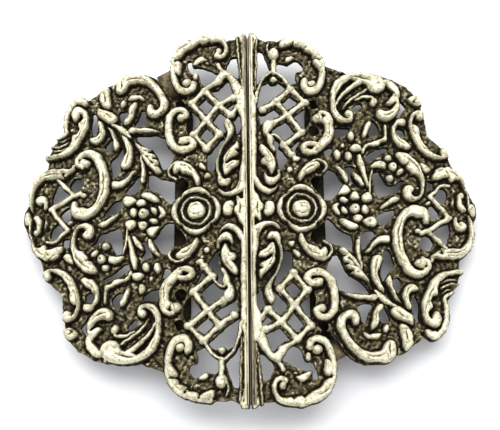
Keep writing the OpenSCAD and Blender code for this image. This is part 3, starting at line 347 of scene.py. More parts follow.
# Raised leaves, scrolls and bands: name, height over the back, width of the shoulder, and corners of a
# smooth closed line.
LEAVES = [
    ("upper seam band", 1.7, 0.5, [(-1.6, 40), (-1.45, 36), (-1.4, 31), (-1.3, 26), (-0.2, 26),
        (-0.2, 40)]),
    ("lower seam band", 1.7, 0.6, [(-1.4, -24), (-1.45, -30), (-1.6, -35), (-2.0, -39.9), (-0.2, -39.9),
        (-0.2, -24)]),
    ("upper lobe band", 2.95, 0.55, [(-4.2, 36.4), (-4.1, 37.4), (-4.4, 38.7), (-5.1, 39.7), (-6.4, 40.3),
        (-8.2, 40.6), (-10.8, 40.5), (-13, 39.8), (-14.8, 38.6), (-16.1, 37), (-16.6, 35.6), (-16, 35.1),
        (-15, 35.2), (-14.3, 35.9), (-13.4, 36.9), (-12.2, 37.7), (-10.9, 38.4), (-10.4, 38.9),
        (-9.8, 38.5), (-9, 38.7), (-8.2, 39.2), (-7.7, 38.8), (-6.9, 39.1), (-6, 39), (-5.4, 38.4),
        (-5.1, 37.5), (-5, 36.6)]),
    ("upper lobe bead", 2.9, 0.6, [(-15.3, 34.8), (-14.6, 34.3), (-14.3, 33), (-14.6, 31.7),
        (-15.3, 31.3), (-16, 32), (-16.3, 33.4), (-16, 34.5)]),
    ("upper lobe knob", 2.3, 0.4, [(-11.9, 31.4), (-11.4, 31.8), (-10.8, 31.4), (-10.8, 30.5),
        (-11.4, 30.1), (-11.9, 30.6)]),
    ("upper lobe leaf", 2, 0.4, [(-12.1, 33.9), (-11.3, 35.2), (-10.3, 35.8), (-9.2, 35.4), (-8.7, 34.8),
        (-9.8, 34.7), (-10.8, 34.2), (-11.4, 33.7)]),
    ("upper arch", 2.5, 0.6, [(-9.6, 28), (-8.6, 28.5), (-7.4, 29.3), (-6.5, 30.8), (-5.8, 31.9),
        (-4.9, 32), (-3.9, 31.4), (-2.8, 30.2), (-1.9, 29.1), (-1.2, 28), (-0.4, 26.5), (-0.4, 14),
        (-1.1, 14), (-1.2, 17), (-1.5, 20), (-2.1, 22.8), (-2.3, 24.6), (-2.8, 26.4), (-3.4, 28.2),
        (-4, 29.5), (-4.7, 30.2), (-5.3, 29.7), (-5.6, 28.8), (-6.4, 28.5), (-7.6, 28), (-8.6, 27.4),
        (-9.4, 27.2)]),
    ("upper arch foot", 2.5, 0.55, [(-0.4, 14.5), (-0.4, 5), (-1.1, 3.9), (-2.1, 3.2), (-3.2, 2.8),
        (-4.4, 2.8), (-5.4, 3.2), (-6.1, 4), (-6.2, 4.6), (-5.6, 4.3), (-4.8, 3.8), (-3.6, 3.9),
        (-2.8, 4.4), (-2.1, 5.4), (-1.8, 6.8), (-1.5, 9), (-1.1, 11.5), (-1, 14.5)]),
    ("upper teardrop", 2.85, 0.55, [(-4.2, 20.4), (-3.6, 19.9), (-3.1, 18.7), (-2.9, 17.4), (-3.3, 16.2),
        (-4, 15.2), (-4.7, 14.4), (-5.3, 13.4), (-5.8, 12.2), (-6.1, 11), (-6.5, 11), (-6.2, 12.4),
        (-5.6, 13.8), (-4.9, 15), (-4.5, 16), (-4.4, 17.4), (-4.8, 18.8), (-4.7, 19.9)]),
    ("upper crescent", 2.7, 0.5, [(-6.6, 11.2), (-6.2, 11), (-6.2, 9.3), (-5.8, 7.8), (-5.2, 6.8),
        (-4.4, 6.6), (-3.5, 6.7), (-3.7, 5.8), (-4.6, 5.1), (-5.5, 5.1), (-6.1, 5.9), (-6.4, 7.4),
        (-6.8, 9.4)]),
    ("upper acanthus", 2.9, 0.5, [(-4.9, 7.5), (-5.2, 8.6), (-5.2, 10), (-4.9, 11.6), (-4.2, 12.9),
        (-3.3, 13.8), (-2.5, 14.3), (-2.2, 15.1), (-1.8, 14.3), (-1.8, 13.2), (-2.6, 12.9), (-2.1, 12.5),
        (-2.2, 11.8), (-3, 11.4), (-3.9, 10.9), (-4.6, 10), (-3.8, 10.2), (-3, 10.6), (-2.2, 10.4),
        (-1.7, 10.4), (-1.9, 9.5), (-2.7, 9.1), (-3.5, 8.7), (-4, 8), (-4.4, 7.5)]),
    ("leaf over rosette", 2.95, 0.6, [(-15.7, 8.6), (-15.2, 8.2), (-14.4, 9), (-13.9, 8.3), (-12.8, 8.1),
        (-11.9, 7.7), (-11.3, 6.8), (-10.9, 5.5), (-10.4, 5.3), (-10.1, 6.4), (-10.4, 7.8), (-11.2, 9.1),
        (-12.3, 10.2), (-13.6, 10.9), (-14.9, 10.8), (-15.8, 10), (-16, 9.2)]),
    ("crumb over rosette", 2.3, 0.4, [(-10.4, 10.2), (-10, 10.7), (-9.4, 10.2), (-8.9, 9.4), (-8.9, 8.8),
        (-9.6, 9.1), (-10.3, 9.6)]),
    ("crumb by rosette", 2.2, 0.4, [(-9.2, 7.6), (-8.8, 8.2), (-8.2, 8), (-7.9, 7.4), (-8.6, 6.9),
        (-9.2, 7)]),
    ("palmette boss", 2.9, 0.6, [(-5.3, -0.2), (-5, 0.9), (-4.3, 1.6), (-3.6, 1.7), (-3, 1.1),
        (-2.9, 0.3), (-3, -0.6), (-3.4, -1.3), (-4.2, -1.5), (-5, -1.2)]),
    ("palmette fan", 2.5, 0.5, [(-2.8, 0.4), (-2.4, 0.7), (-2.3, 1.6), (-2.4, 2.6), (-2, 2.8),
        (-1.4, 2.1), (-0.9, 2.4), (-0.4, 3.4), (-0.3, 3.4), (-0.3, -5.2), (-0.7, -5.3), (-1.1, -4),
        (-1.9, -2.6), (-2.3, -1.4), (-2.8, -0.8)]),
    ("leaf under rosette", 2.95, 0.6, [(-15.1, -9.9), (-14.9, -9.2), (-14.2, -8.8), (-13.6, -8.1),
        (-12.4, -7.8), (-11.6, -7.3), (-11, -6.3), (-10.5, -6), (-10.2, -6.8), (-10.6, -8.1),
        (-11.5, -9.3), (-12.6, -10.1), (-13.8, -10.4), (-14.7, -10.4)]),
    ("crumb under rosette", 2.2, 0.4, [(-9.4, -8.5), (-8.7, -8.1), (-8, -8.5), (-8.2, -9.2),
        (-9.1, -9.2)]),
    ("crumb below rosette", 2.2, 0.4, [(-11, -11.3), (-10.3, -10.6), (-9.4, -10.7), (-9.4, -11.5),
        (-10.3, -11.8)]),
    ("lower arch", 2.5, 0.55, [(-6.5, -5.8), (-5.9, -4.6), (-5.1, -3.7), (-4.2, -3.3), (-3.2, -3.4),
        (-2.2, -3.9), (-1.4, -4.9), (-0.8, -6), (-0.4, -7), (-0.4, -25.5), (-1.5, -25.5), (-1.6, -20),
        (-1.6, -14), (-1.5, -10), (-1.6, -7.6), (-2, -6.1), (-2.8, -5.1), (-3.7, -4.5), (-4.6, -4.3),
        (-5.4, -4.6)]),
    ("lower crescent", 2.7, 0.5, [(-6.4, -8.6), (-6.5, -7.1), (-6.1, -6.2), (-5.4, -5.4), (-4.6, -5.1),
        (-3.9, -5.4), (-3.3, -6.3), (-3.1, -7.7), (-3.5, -7.8), (-3.8, -7), (-4.4, -6.7), (-5.2, -6.7),
        (-5.8, -7.3), (-6, -8.5)]),
    ("lower acanthus", 2.9, 0.6, [(-5, -7.8), (-5.5, -8.8), (-5.6, -10), (-5.4, -11.2), (-4.7, -12.2),
        (-3.8, -13.3), (-3, -14), (-2.4, -14.2), (-2.1, -13.5), (-2.3, -12.5), (-2.9, -11.7),
        (-3.4, -11.2), (-2.8, -11), (-2.5, -10.4), (-2.8, -9.8), (-3.7, -9.3), (-4.3, -8.4),
        (-4.6, -7.7)]),
    ("lower teardrop", 2.85, 0.55, [(-5.6, -12.7), (-5, -12.7), (-4.3, -14.1), (-3.6, -15.6), (-3.1, -17),
        (-2.9, -18.2), (-3.3, -19.4), (-4.1, -19.8), (-4.8, -19.3), (-5.1, -18.4), (-4.8, -17.5),
        (-4.3, -16.9), (-4.9, -16.3), (-5.3, -15.4), (-5.1, -14.3)]),
    ("scroll by lower lattice", 2.9, 0.55, [(-17.8, -16), (-16.9, -14.4), (-15.7, -13.2), (-14.4, -12.4),
        (-12.9, -12), (-11.6, -12.4), (-11, -13.5), (-11.5, -14.6), (-12.8, -15.1), (-14.3, -14.9),
        (-15, -14.2), (-14.4, -13.8), (-13, -14), (-12.2, -13.7), (-12.9, -13.2), (-14.2, -13.4),
        (-15.4, -14.4), (-16.2, -15.8), (-16.6, -17.4), (-16.4, -19), (-15.6, -19.6), (-16.2, -20.9),
        (-17.2, -20.8), (-17.9, -19.4), (-18.1, -17.6)]),
    ("lower lobe band", 2.3, 0.5, [(-17, -30.6), (-17, -33.4), (-16.2, -35.8), (-14.6, -37.6),
        (-12.4, -38.9), (-9.8, -39.6), (-7.6, -39.6), (-7.6, -38.4), (-10, -38), (-12.4, -37),
        (-14, -35.6), (-15, -33.8), (-15.6, -31.6), (-15.8, -30.4)]),
    ("lower lobe bead", 2.9, 0.6, [(-15.9, -32.1), (-15, -32.5), (-14.5, -33.3), (-14.3, -34.3),
        (-15, -34.8), (-16, -34.2), (-16.5, -33)]),
    ("lower lobe second bead", 2.8, 0.45, [(-15, -34.9), (-14.1, -35.7), (-13, -36.2), (-12.2, -36.8),
        (-12.5, -37.5), (-13.6, -37.2), (-14.7, -36.3), (-15.3, -35.5)]),
    ("lower lobe third bead", 2.8, 0.45, [(-12.3, -37.3), (-11, -37.5), (-10.1, -37.8), (-9.9, -38.6),
        (-11, -38.9), (-12.3, -38.3)]),
    ("lower lobe fourth bead", 2.9, 0.5, [(-9.9, -38.5), (-8.8, -37.7), (-7.6, -37.3), (-6.9, -37.7),
        (-6.9, -38.5), (-8.2, -39.2), (-9.6, -39.2)]),
    ("lower lobe ball", 2.95, 0.7, [(-6.8, -35.7), (-6.4, -34.6), (-5.4, -34.2), (-4.5, -34.8),
        (-4.4, -35.8), (-4.9, -36.8), (-5.8, -37), (-6.5, -36.6)]),
    ("lower lobe inner bead", 2.3, 0.4, [(-10.2, -34.9), (-9.5, -34.2), (-8.6, -33.8), (-8, -34.3),
        (-8.3, -35), (-9.4, -35.3)]),
    ("upper outer scroll", 2.95, 0.6, [(-28.9, 27.9), (-29.2, 29.6), (-28.5, 31.3), (-26.9, 32.2),
        (-25.6, 31.8), (-24, 32), (-22.4, 31.7), (-20.7, 30.6), (-19.2, 28.8), (-18, 26.7), (-17.2, 24.8),
        (-17.6, 23), (-18.8, 21.9), (-20.3, 21.4), (-21.5, 22), (-22, 23.1), (-21.6, 24.4), (-20.8, 24.6),
        (-20.4, 23.6), (-19.8, 23.1), (-19.2, 23.8), (-19, 25), (-19.8, 26.8), (-21, 28.4), (-22.6, 29.6),
        (-24.4, 29.9), (-26, 29.6), (-26.7, 28.4), (-27.8, 27.5)]),
    ("left frond top", 2.7, 0.55, [(-32.6, 28.4), (-31.4, 29.6), (-30.6, 29), (-30.4, 27.4), (-30, 25.6),
        (-30.2, 24.4), (-31.4, 24.6), (-32.6, 26)]),
    ("left frond middle", 2.9, 0.6, [(-32.8, 24.6), (-31.6, 24.1), (-30.2, 23.6), (-29, 22.8),
        (-28.4, 21.8), (-28.9, 20.9), (-30.4, 20.7), (-31.6, 21.6), (-33, 22.8)]),
    ("hanging leaf", 2.7, 0.5, [(-24.3, 25.6), (-25.2, 25.1), (-25.9, 24), (-26.1, 22.4), (-26.8, 21.2),
        (-26.9, 20.3), (-25.8, 20.4), (-25, 21.6), (-24.6, 23), (-24.2, 24.4)]),
    ("crest knob", 2.6, 0.5, [(-28, 25.4), (-27.4, 26.1), (-26.8, 25.6), (-26.8, 24.7), (-27.6, 24.4)]),
    ("inner leaf", 2.1, 0.5, [(-26.6, 26.2), (-25.6, 27.2), (-24, 27.4), (-22.8, 26.6), (-22.7, 25.8),
        (-24, 26.3), (-25.4, 26.1)]),
    ("horizontal stem", 2.5, 0.4, [(-26.2, 18.8), (-25.2, 19.5), (-23.6, 19.2), (-21.8, 19.2),
        (-20, 18.7), (-18.8, 18), (-20, 18.1), (-22, 18.3), (-24.4, 18.3), (-25.6, 18.2)]),
    ("fan leaf left", 2.75, 0.45, [(-30.8, 20.1), (-29.6, 19.2), (-28.7, 17.8), (-28.2, 16.4),
        (-27.8, 15.4), (-28.2, 14.5), (-28.9, 14.2), (-29.1, 15.6), (-29.4, 17.2), (-30, 18.8)]),
    ("fan leaf middle", 2.85, 0.55, [(-27.2, 18), (-26.1, 17), (-25.2, 15.4), (-24.8, 13.4), (-25, 11.4),
        (-25.6, 10.2), (-26.9, 10), (-27.3, 10.8), (-26.9, 12.2), (-26.3, 13.8), (-26.5, 15.4),
        (-27, 16.6)]),
    ("fan leaf turned back", 2.6, 0.45, [(-23.8, 9.6), (-24.9, 9), (-26.2, 7.7), (-27.6, 7.1), (-29, 7.1),
        (-29, 5.6), (-27.8, 5.9), (-26.4, 6.2), (-25.2, 7.4), (-24.2, 8.7)]),
    ("feathered leaf", 2.95, 0.5, [(-24.9, 17.2), (-24, 15.8), (-22.6, 14.8), (-21.2, 14.2),
        (-20.5, 13.9), (-21.3, 13.2), (-20.3, 13), (-19.5, 12.2), (-20.3, 11.9), (-19.3, 11.4),
        (-19, 10.4), (-19.6, 10.2), (-18.8, 9.8), (-18.6, 8.6), (-19.4, 8.4), (-20.4, 9.4), (-21.6, 10.6),
        (-22.4, 12), (-23.2, 13.6), (-24.2, 15.2)]),
    ("fan stem", 2.5, 0.4, [(-23.2, 13.6), (-22.6, 12), (-22.1, 10), (-22, 8), (-22.1, 6.7), (-22.8, 6.6),
        (-22.8, 8.6), (-22.9, 10.6), (-23.2, 12.2)]),
    ("flower petal top left", 2.5, 0.5, [(-26.8, 2.9), (-26, 3.6), (-24.6, 3.5), (-23.5, 2.7),
        (-24.2, 2.1), (-25.4, 1.6), (-26.4, 1.9)]),
    ("flower petal top right", 2.5, 0.5, [(-22.9, 3.7), (-21.9, 4.4), (-20.4, 4.1), (-19.2, 3.2),
        (-18.9, 2.2), (-19.8, 2.1), (-20.8, 2.7), (-21.9, 3)]),
    ("flower petal over ring", 2.75, 0.4, [(-23.7, 1.9), (-23.1, 2.7), (-22, 2.7), (-21.5, 1.9),
        (-22, 1.4), (-23.2, 1.3)]),
    ("flower petal left", 2.6, 0.5, [(-25, 0.8), (-24.2, 1), (-23.5, 0.5), (-23.6, -0.6), (-24.4, -1),
        (-25.1, -0.2)]),
    ("flower petal right", 2.5, 0.4, [(-20.6, 1), (-19.8, 0.9), (-19.2, 0.1), (-19.6, -0.7), (-20.3, 0)]),
    ("flower petal lower right", 2.5, 0.4, [(-20.9, -2), (-20.2, -1.4), (-19.2, -1.6), (-19, -2.4),
        (-20, -2.7)]),
    ("flower petal low", 2.6, 0.45, [(-23.2, -2.2), (-22, -2.1), (-21.1, -2.4), (-21.5, -3.3),
        (-22.3, -3.9), (-22.9, -3.2)]),
    ("flower petal low left", 2.65, 0.5, [(-25.9, -2), (-25, -1.6), (-24, -1.7), (-23.6, -2.6),
        (-24, -3.3), (-25, -3.8), (-25.8, -3.2)]),
    ("flower petal outer low", 2.3, 0.4, [(-21.4, -3.7), (-19.6, -3.2), (-18.7, -3.2), (-19.3, -4.6),
        (-20, -5.4), (-20.9, -4.9)]),
    ("flower petal outer right", 2.2, 0.4, [(-19, 1.4), (-18, 1), (-17.4, 0.2), (-17.8, -1),
        (-18.7, -1.4), (-18.6, -0.4), (-18.9, 0.6)]),
    ("twig leaf", 2.5, 0.45, [(-32, -2.4), (-30.9, -1.7), (-29.8, -1.3), (-28.6, -0.4), (-27.4, 0),
        (-27.8, -0.9), (-28.6, -1.6), (-29.8, -2.5), (-31, -2.9)]),
    ("long twig", 2.6, 0.45, [(-25.4, -5.2), (-25, -7), (-24.8, -9), (-24.2, -11), (-23.8, -12.2),
        (-23.1, -12), (-23.2, -10.4), (-23.8, -8.4), (-24.4, -6.6), (-24.9, -5)]),
    ("short twig", 2.5, 0.4, [(-24.4, -5.4), (-23.6, -7), (-22.4, -8.2), (-21.8, -8.4), (-22, -7.6),
        (-23, -6.2), (-23.8, -5.2)]),
    ("right twig", 2.5, 0.4, [(-20.9, -5.9), (-20.8, -7.6), (-20, -8.8), (-18.8, -9.8), (-18.3, -9.8),
        (-19, -8.6), (-19.8, -7), (-20.4, -5.8)]),
    ("side petal", 2.6, 0.5, [(-29.1, -9), (-27.6, -9.4), (-26, -9.4), (-25.9, -10), (-27, -10.7),
        (-28.2, -10.9), (-29.2, -10.2)]),
    ("spray branch", 2.5, 0.4, [(-24.5, -12.4), (-25, -13.6), (-26, -14.3), (-27.8, -14.4),
        (-28.4, -15.2), (-29.7, -15.6), (-30, -17.4), (-29.7, -19.4), (-29.3, -19.2), (-29.3, -17.2),
        (-28.8, -16.1), (-27.4, -15.6), (-25.8, -15.1), (-24.7, -14.1), (-24, -13)]),
    ("spray petal left", 2.7, 0.55, [(-24.3, -13.3), (-23.4, -12.9), (-22.1, -13), (-21.6, -13.6),
        (-22.1, -14.4), (-23, -14.7), (-24, -14.3)]),
    ("spray petal top", 2.7, 0.55, [(-22, -11.2), (-21.2, -10.9), (-20.6, -11.7), (-20.6, -12.8),
        (-21.4, -12.9), (-22, -12.3)]),
    ("spray petal right", 2.7, 0.55, [(-19.4, -11.2), (-18.6, -11), (-18.1, -12), (-18.3, -13.1),
        (-19, -13.2), (-19.5, -12.3)]),
    ("spray petal low", 2.7, 0.5, [(-22.5, -15.7), (-21.9, -15.4), (-21.2, -16.2), (-21.4, -17.1),
        (-22.2, -17.6), (-22.7, -16.8)]),
    ("spray leaf", 2.6, 0.45, [(-25, -16.2), (-24.4, -16.5), (-24.8, -18), (-25.3, -19.5), (-26.1, -20.2),
        (-26.5, -19.5), (-25.9, -18.2), (-25.5, -17)]),
    ("shell scroll", 2.85, 0.5, [(-22.8, -21), (-22.3, -19.9), (-20.9, -19.5), (-19.5, -19.8),
        (-18.3, -21.2), (-17.9, -23), (-18, -25.6), (-18.4, -28), (-19.1, -28.2), (-19.1, -26),
        (-18.9, -24), (-19.2, -22.6), (-20, -21.2), (-20.9, -20.6), (-21.8, -20.9), (-21.4, -21.3),
        (-20.8, -21.6), (-21, -22.3), (-21.8, -22.5), (-22.5, -22)]),
    ("cluster tooth a", 2.85, 0.45, [(-36, -8), (-34.7, -8.4), (-33.5, -9.7), (-34.2, -10.2),
        (-35.4, -10.3), (-36, -9.4)]),
    ("cluster tooth b", 2.8, 0.45, [(-35, -10.6), (-33.6, -10.6), (-32.2, -11.6), (-31.5, -12.6),
        (-33, -12.8), (-34.6, -12)]),
    ("shell head", 2.95, 0.7, [(-33.2, -24), (-32.6, -22.4), (-31.4, -20.9), (-30, -20.2), (-28.8, -20.4),
        (-27.9, -21.4), (-28, -22.7), (-28.8, -22.9), (-30, -22.5), (-31.2, -23), (-32.2, -24.4),
        (-32.8, -25)]),
    ("shell leaf", 2.4, 0.5, [(-32.4, -24.8), (-31, -24.1), (-30.2, -24.4), (-30.8, -25.4),
        (-31.8, -26.8), (-31.6, -28.4), (-30.4, -29.5), (-30.8, -30.2), (-32.2, -29.4), (-33.2, -28),
        (-33.2, -26.2)]),
    ("shell knob", 2.5, 0.45, [(-28.2, -24.3), (-27.4, -24), (-26.7, -24.5), (-27, -25.4),
        (-27.8, -25.5)]),
    ("shell foot", 2.7, 0.5, [(-29.5, -31.2), (-29.3, -29.4), (-28.6, -28.2), (-27.3, -27.7),
        (-26.2, -28.2), (-25.6, -29), (-24.6, -29.3), (-23.4, -29.6), (-22.2, -30.2), (-20.8, -29.4),
        (-19.6, -28.4), (-19.1, -28), (-19.6, -29.2), (-21, -30.4), (-22.6, -31.2), (-24.6, -31.4),
        (-26.6, -31), (-28, -30), (-28.6, -30.2), (-28.8, -31.3)]),
    ("big scroll", 3, 0.7, [(-36.9, 12.6), (-36.3, 14), (-34.8, 14.7), (-32.9, 14.4), (-31.4, 12.6),
        (-30.3, 10.2), (-29.7, 7.4), (-30, 4.2), (-31, 1.6), (-32.3, 0), (-34, -1), (-36, -1), (-37.5, 0),
        (-37.9, 1.6), (-37.5, 3), (-36.6, 3), (-36.3, 1.9), (-35.3, 1.8), (-34, 1.4), (-32.9, 2.2),
        (-32, 4), (-31.8, 6.6), (-32.2, 9), (-33.1, 11.4), (-34.2, 12.8), (-35.4, 13.1), (-36, 12.4)]),
    ("big scroll ball", 2.95, 0.8, [(-36.7, 12), (-35.8, 12.8), (-34.7, 12.5), (-34, 11.7), (-34.5, 10.8),
        (-35.5, 10.6), (-36.4, 11.2)]),
    ("upper left scroll", 2.95, 0.6, [(-38.8, 23.2), (-38.5, 24.3), (-37.4, 25), (-36, 24.6),
        (-35.2, 23.4), (-34.9, 21.6), (-34.9, 19.9), (-35.8, 17.8), (-37, 15.6), (-38.4, 14),
        (-40.2, 13.3), (-42.4, 12.9), (-43.9, 12.9), (-44, 13.8), (-42.6, 13.9), (-40.8, 14.3),
        (-39.3, 15.4), (-38.4, 16.8), (-38.3, 18.2), (-37.4, 18.6), (-36.9, 19.6), (-37.1, 20.8),
        (-36.6, 21.3), (-36.2, 22.4), (-36.6, 23.1), (-37.2, 22.2), (-37.8, 21.7), (-38.4, 22.1)]),
    ("upper left crest", 2.6, 0.5, [(-38.6, 26.3), (-37.9, 27.3), (-36.6, 27.5), (-35.5, 26.6),
        (-35.2, 25.4), (-36.2, 25.8), (-37.4, 25.6)]),
    ("left frond foot", 2.8, 0.55, [(-34.7, 17.4), (-34, 16.4), (-32.6, 16.1), (-31.6, 17), (-31, 18.4),
        (-31.4, 20.2), (-32.2, 21.4), (-32.8, 20.8), (-32.4, 19.2), (-32.8, 17.8), (-33.8, 17.4)]),
    ("tip band", 2.8, 0.6, [(-37.6, 11.5), (-38.6, 10.6), (-40.2, 10.6), (-42.4, 10.7), (-44.2, 10.3),
        (-45.8, 8.9), (-46.8, 7), (-47.2, 4.6), (-46.9, 2.4), (-46.1, 0.8), (-46.3, 3), (-46, 5.6),
        (-45.2, 7.4), (-43.8, 8.4), (-42.4, 8.2), (-41, 8.5), (-39.6, 8.3), (-39.9, 9.6), (-38.8, 9.3),
        (-37.4, 10.3)]),
    ("tip curl", 2.7, 0.5, [(-45.6, 3.6), (-45.2, 4.5), (-44.3, 4.7), (-43.3, 4), (-43, 2.4),
        (-43.4, 1.4), (-43.9, 1.8), (-43.9, 2.8), (-44.6, 2.4), (-45.3, 2.8)]),
    ("tip leaf", 2.5, 0.5, [(-46, -0.2), (-45, 0.3), (-44.4, -0.8), (-44.2, -2.4), (-44.7, -3.8),
        (-45.2, -2.6), (-45.4, -1.4)]),
    ("tip foot leaf", 2.75, 0.5, [(-46, -4.2), (-45.4, -6), (-44.4, -6.8), (-42.9, -6.3), (-42.3, -7.4),
        (-40.9, -7), (-39.2, -6.8), (-39.4, -8), (-40.2, -9.4), (-41.6, -9.7), (-43.2, -9.4),
        (-44.8, -8.6), (-45.9, -6.6)]),
    ("leaf by tip foot", 2.5, 0.45, [(-39, -8.9), (-37.9, -8.4), (-36.9, -9.6), (-36.7, -10.7),
        (-37.8, -10.3), (-38.6, -9.6)]),
    ("small flower scroll", 2.8, 0.5, [(-36.6, -3), (-35.4, -2.1), (-33.9, -2.1), (-32.7, -2.9),
        (-32.5, -4.2), (-33.2, -5.2), (-34.2, -5.4), (-35, -4.6), (-34.4, -3.6), (-34.9, -2.9),
        (-36, -3.2), (-36.5, -4.4), (-36.4, -6.4), (-35.6, -7.8), (-34.4, -8.3), (-35, -8.8), (-34, -9.9),
        (-32.8, -10.4), (-31.4, -12.3), (-32.6, -13), (-34.2, -12.3), (-35.6, -11.2), (-36.7, -9.6),
        (-37.3, -7.4), (-37.3, -4.8)]),
    ("lower left scroll", 2.9, 0.55, [(-43, -12.4), (-42, -11.6), (-40.2, -11.5), (-38.4, -12.2),
        (-36.9, -13.6), (-35.7, -15.6), (-35, -18), (-34.9, -20.4), (-35.6, -22), (-36.9, -22.9),
        (-38, -22.7), (-38.3, -21.4), (-37.6, -20.5), (-36.8, -20.7), (-36.6, -21.6), (-35.8, -20.8),
        (-35.7, -19.5), (-36.4, -19.2), (-37.2, -17.8), (-37.1, -16.6), (-37.8, -15.2), (-38.6, -13.8),
        (-39.8, -12.8), (-41.4, -12.2), (-41.4, -13.6), (-42, -14.2), (-42.8, -13.4)]),
    ("lower curl", 2.7, 0.5, [(-35, -14.1), (-34, -13.6), (-32.4, -14.2), (-31.2, -15.8), (-30.9, -17.8),
        (-31.4, -19.7), (-32.4, -20.8), (-33.9, -20.6), (-34, -19.4), (-33, -19.2), (-32.2, -19.4),
        (-31.9, -17.8), (-32.6, -16.4), (-34, -15.4)]),
    ("lower left knob", 2.6, 0.55, [(-38.2, -24.4), (-37, -24), (-35.7, -24.5), (-35, -25.4),
        (-35.8, -26.4), (-37.2, -26.4)]),
]

# Beads and buds: middle, radii, turn in degrees, height over the back.
BEADS = [((-21.7, -21.5), (0.95, 0.95), 0, 2.85), ((-14.3, 21.2), (1.15, 1.1), 0, 2.95),
    ((-13.7, 15.5), (1.5, 0.75), 10, 2.9), ((-5.5, -35.5), (1.35, 1.35), 0, 2.95),
    ((-44.9, -1), (0.8, 1.3), 10, 2.4), ((-45.2, -3.4), (0.7, 0.9), 0, 2.2),
    ((-8.7, 34.2), (0.7, 0.4), 0, 1.9), ((-5.5, -29.5), (1.0, 0.75), 0, 2.6),
    ((-11.5, -30.8), (0.6, 0.5), 0, 2), ((-29.9, -7.1), (1, 1), 0, 2.7),
    ((-32.2, -8.6), (1.1, 0.7), 45, 2.5), ((-29.8, -11.7), (1, 0.8), 0, 2.5),
    ((-20.1, -14.4), (0.5, 0.8), 10, 2.2), ((-39.9, 21.8), (0.6, 1), 0, 2.2),
    ((-47.3, -0.3), (0.85, 1.8), 8, 2.1), ((-35.3, 4.5), (0.9, 0.7), 0, 2.2),
    ((-34.6, 8), (0.6, 0.5), 0, 2), ((-37.8, -1.6), (0.8, 0.6), 20, 2.2),
    ((-6.2, 36.5), (0.85, 0.95), 0, 2.9), ((-13.2, 29.5), (1.3, 1.1), 0, 2.9),
    ((-13.8, -28.7), (1.15, 1.0), 0, 2.9), ((-15, -20.6), (1.3, 1.2), 0, 2.95),
    ((-27.3, -24.5), (0.85, 0.8), 0, 2.6), ((-31.7, -24.8), (0.8, 0.5), 20, 2.2),
    ((-20.3, -31.9), (0.7, 0.4), 0, 1.9), ((-18.7, -32.2), (0.45, 0.35), 0, 1.8)]

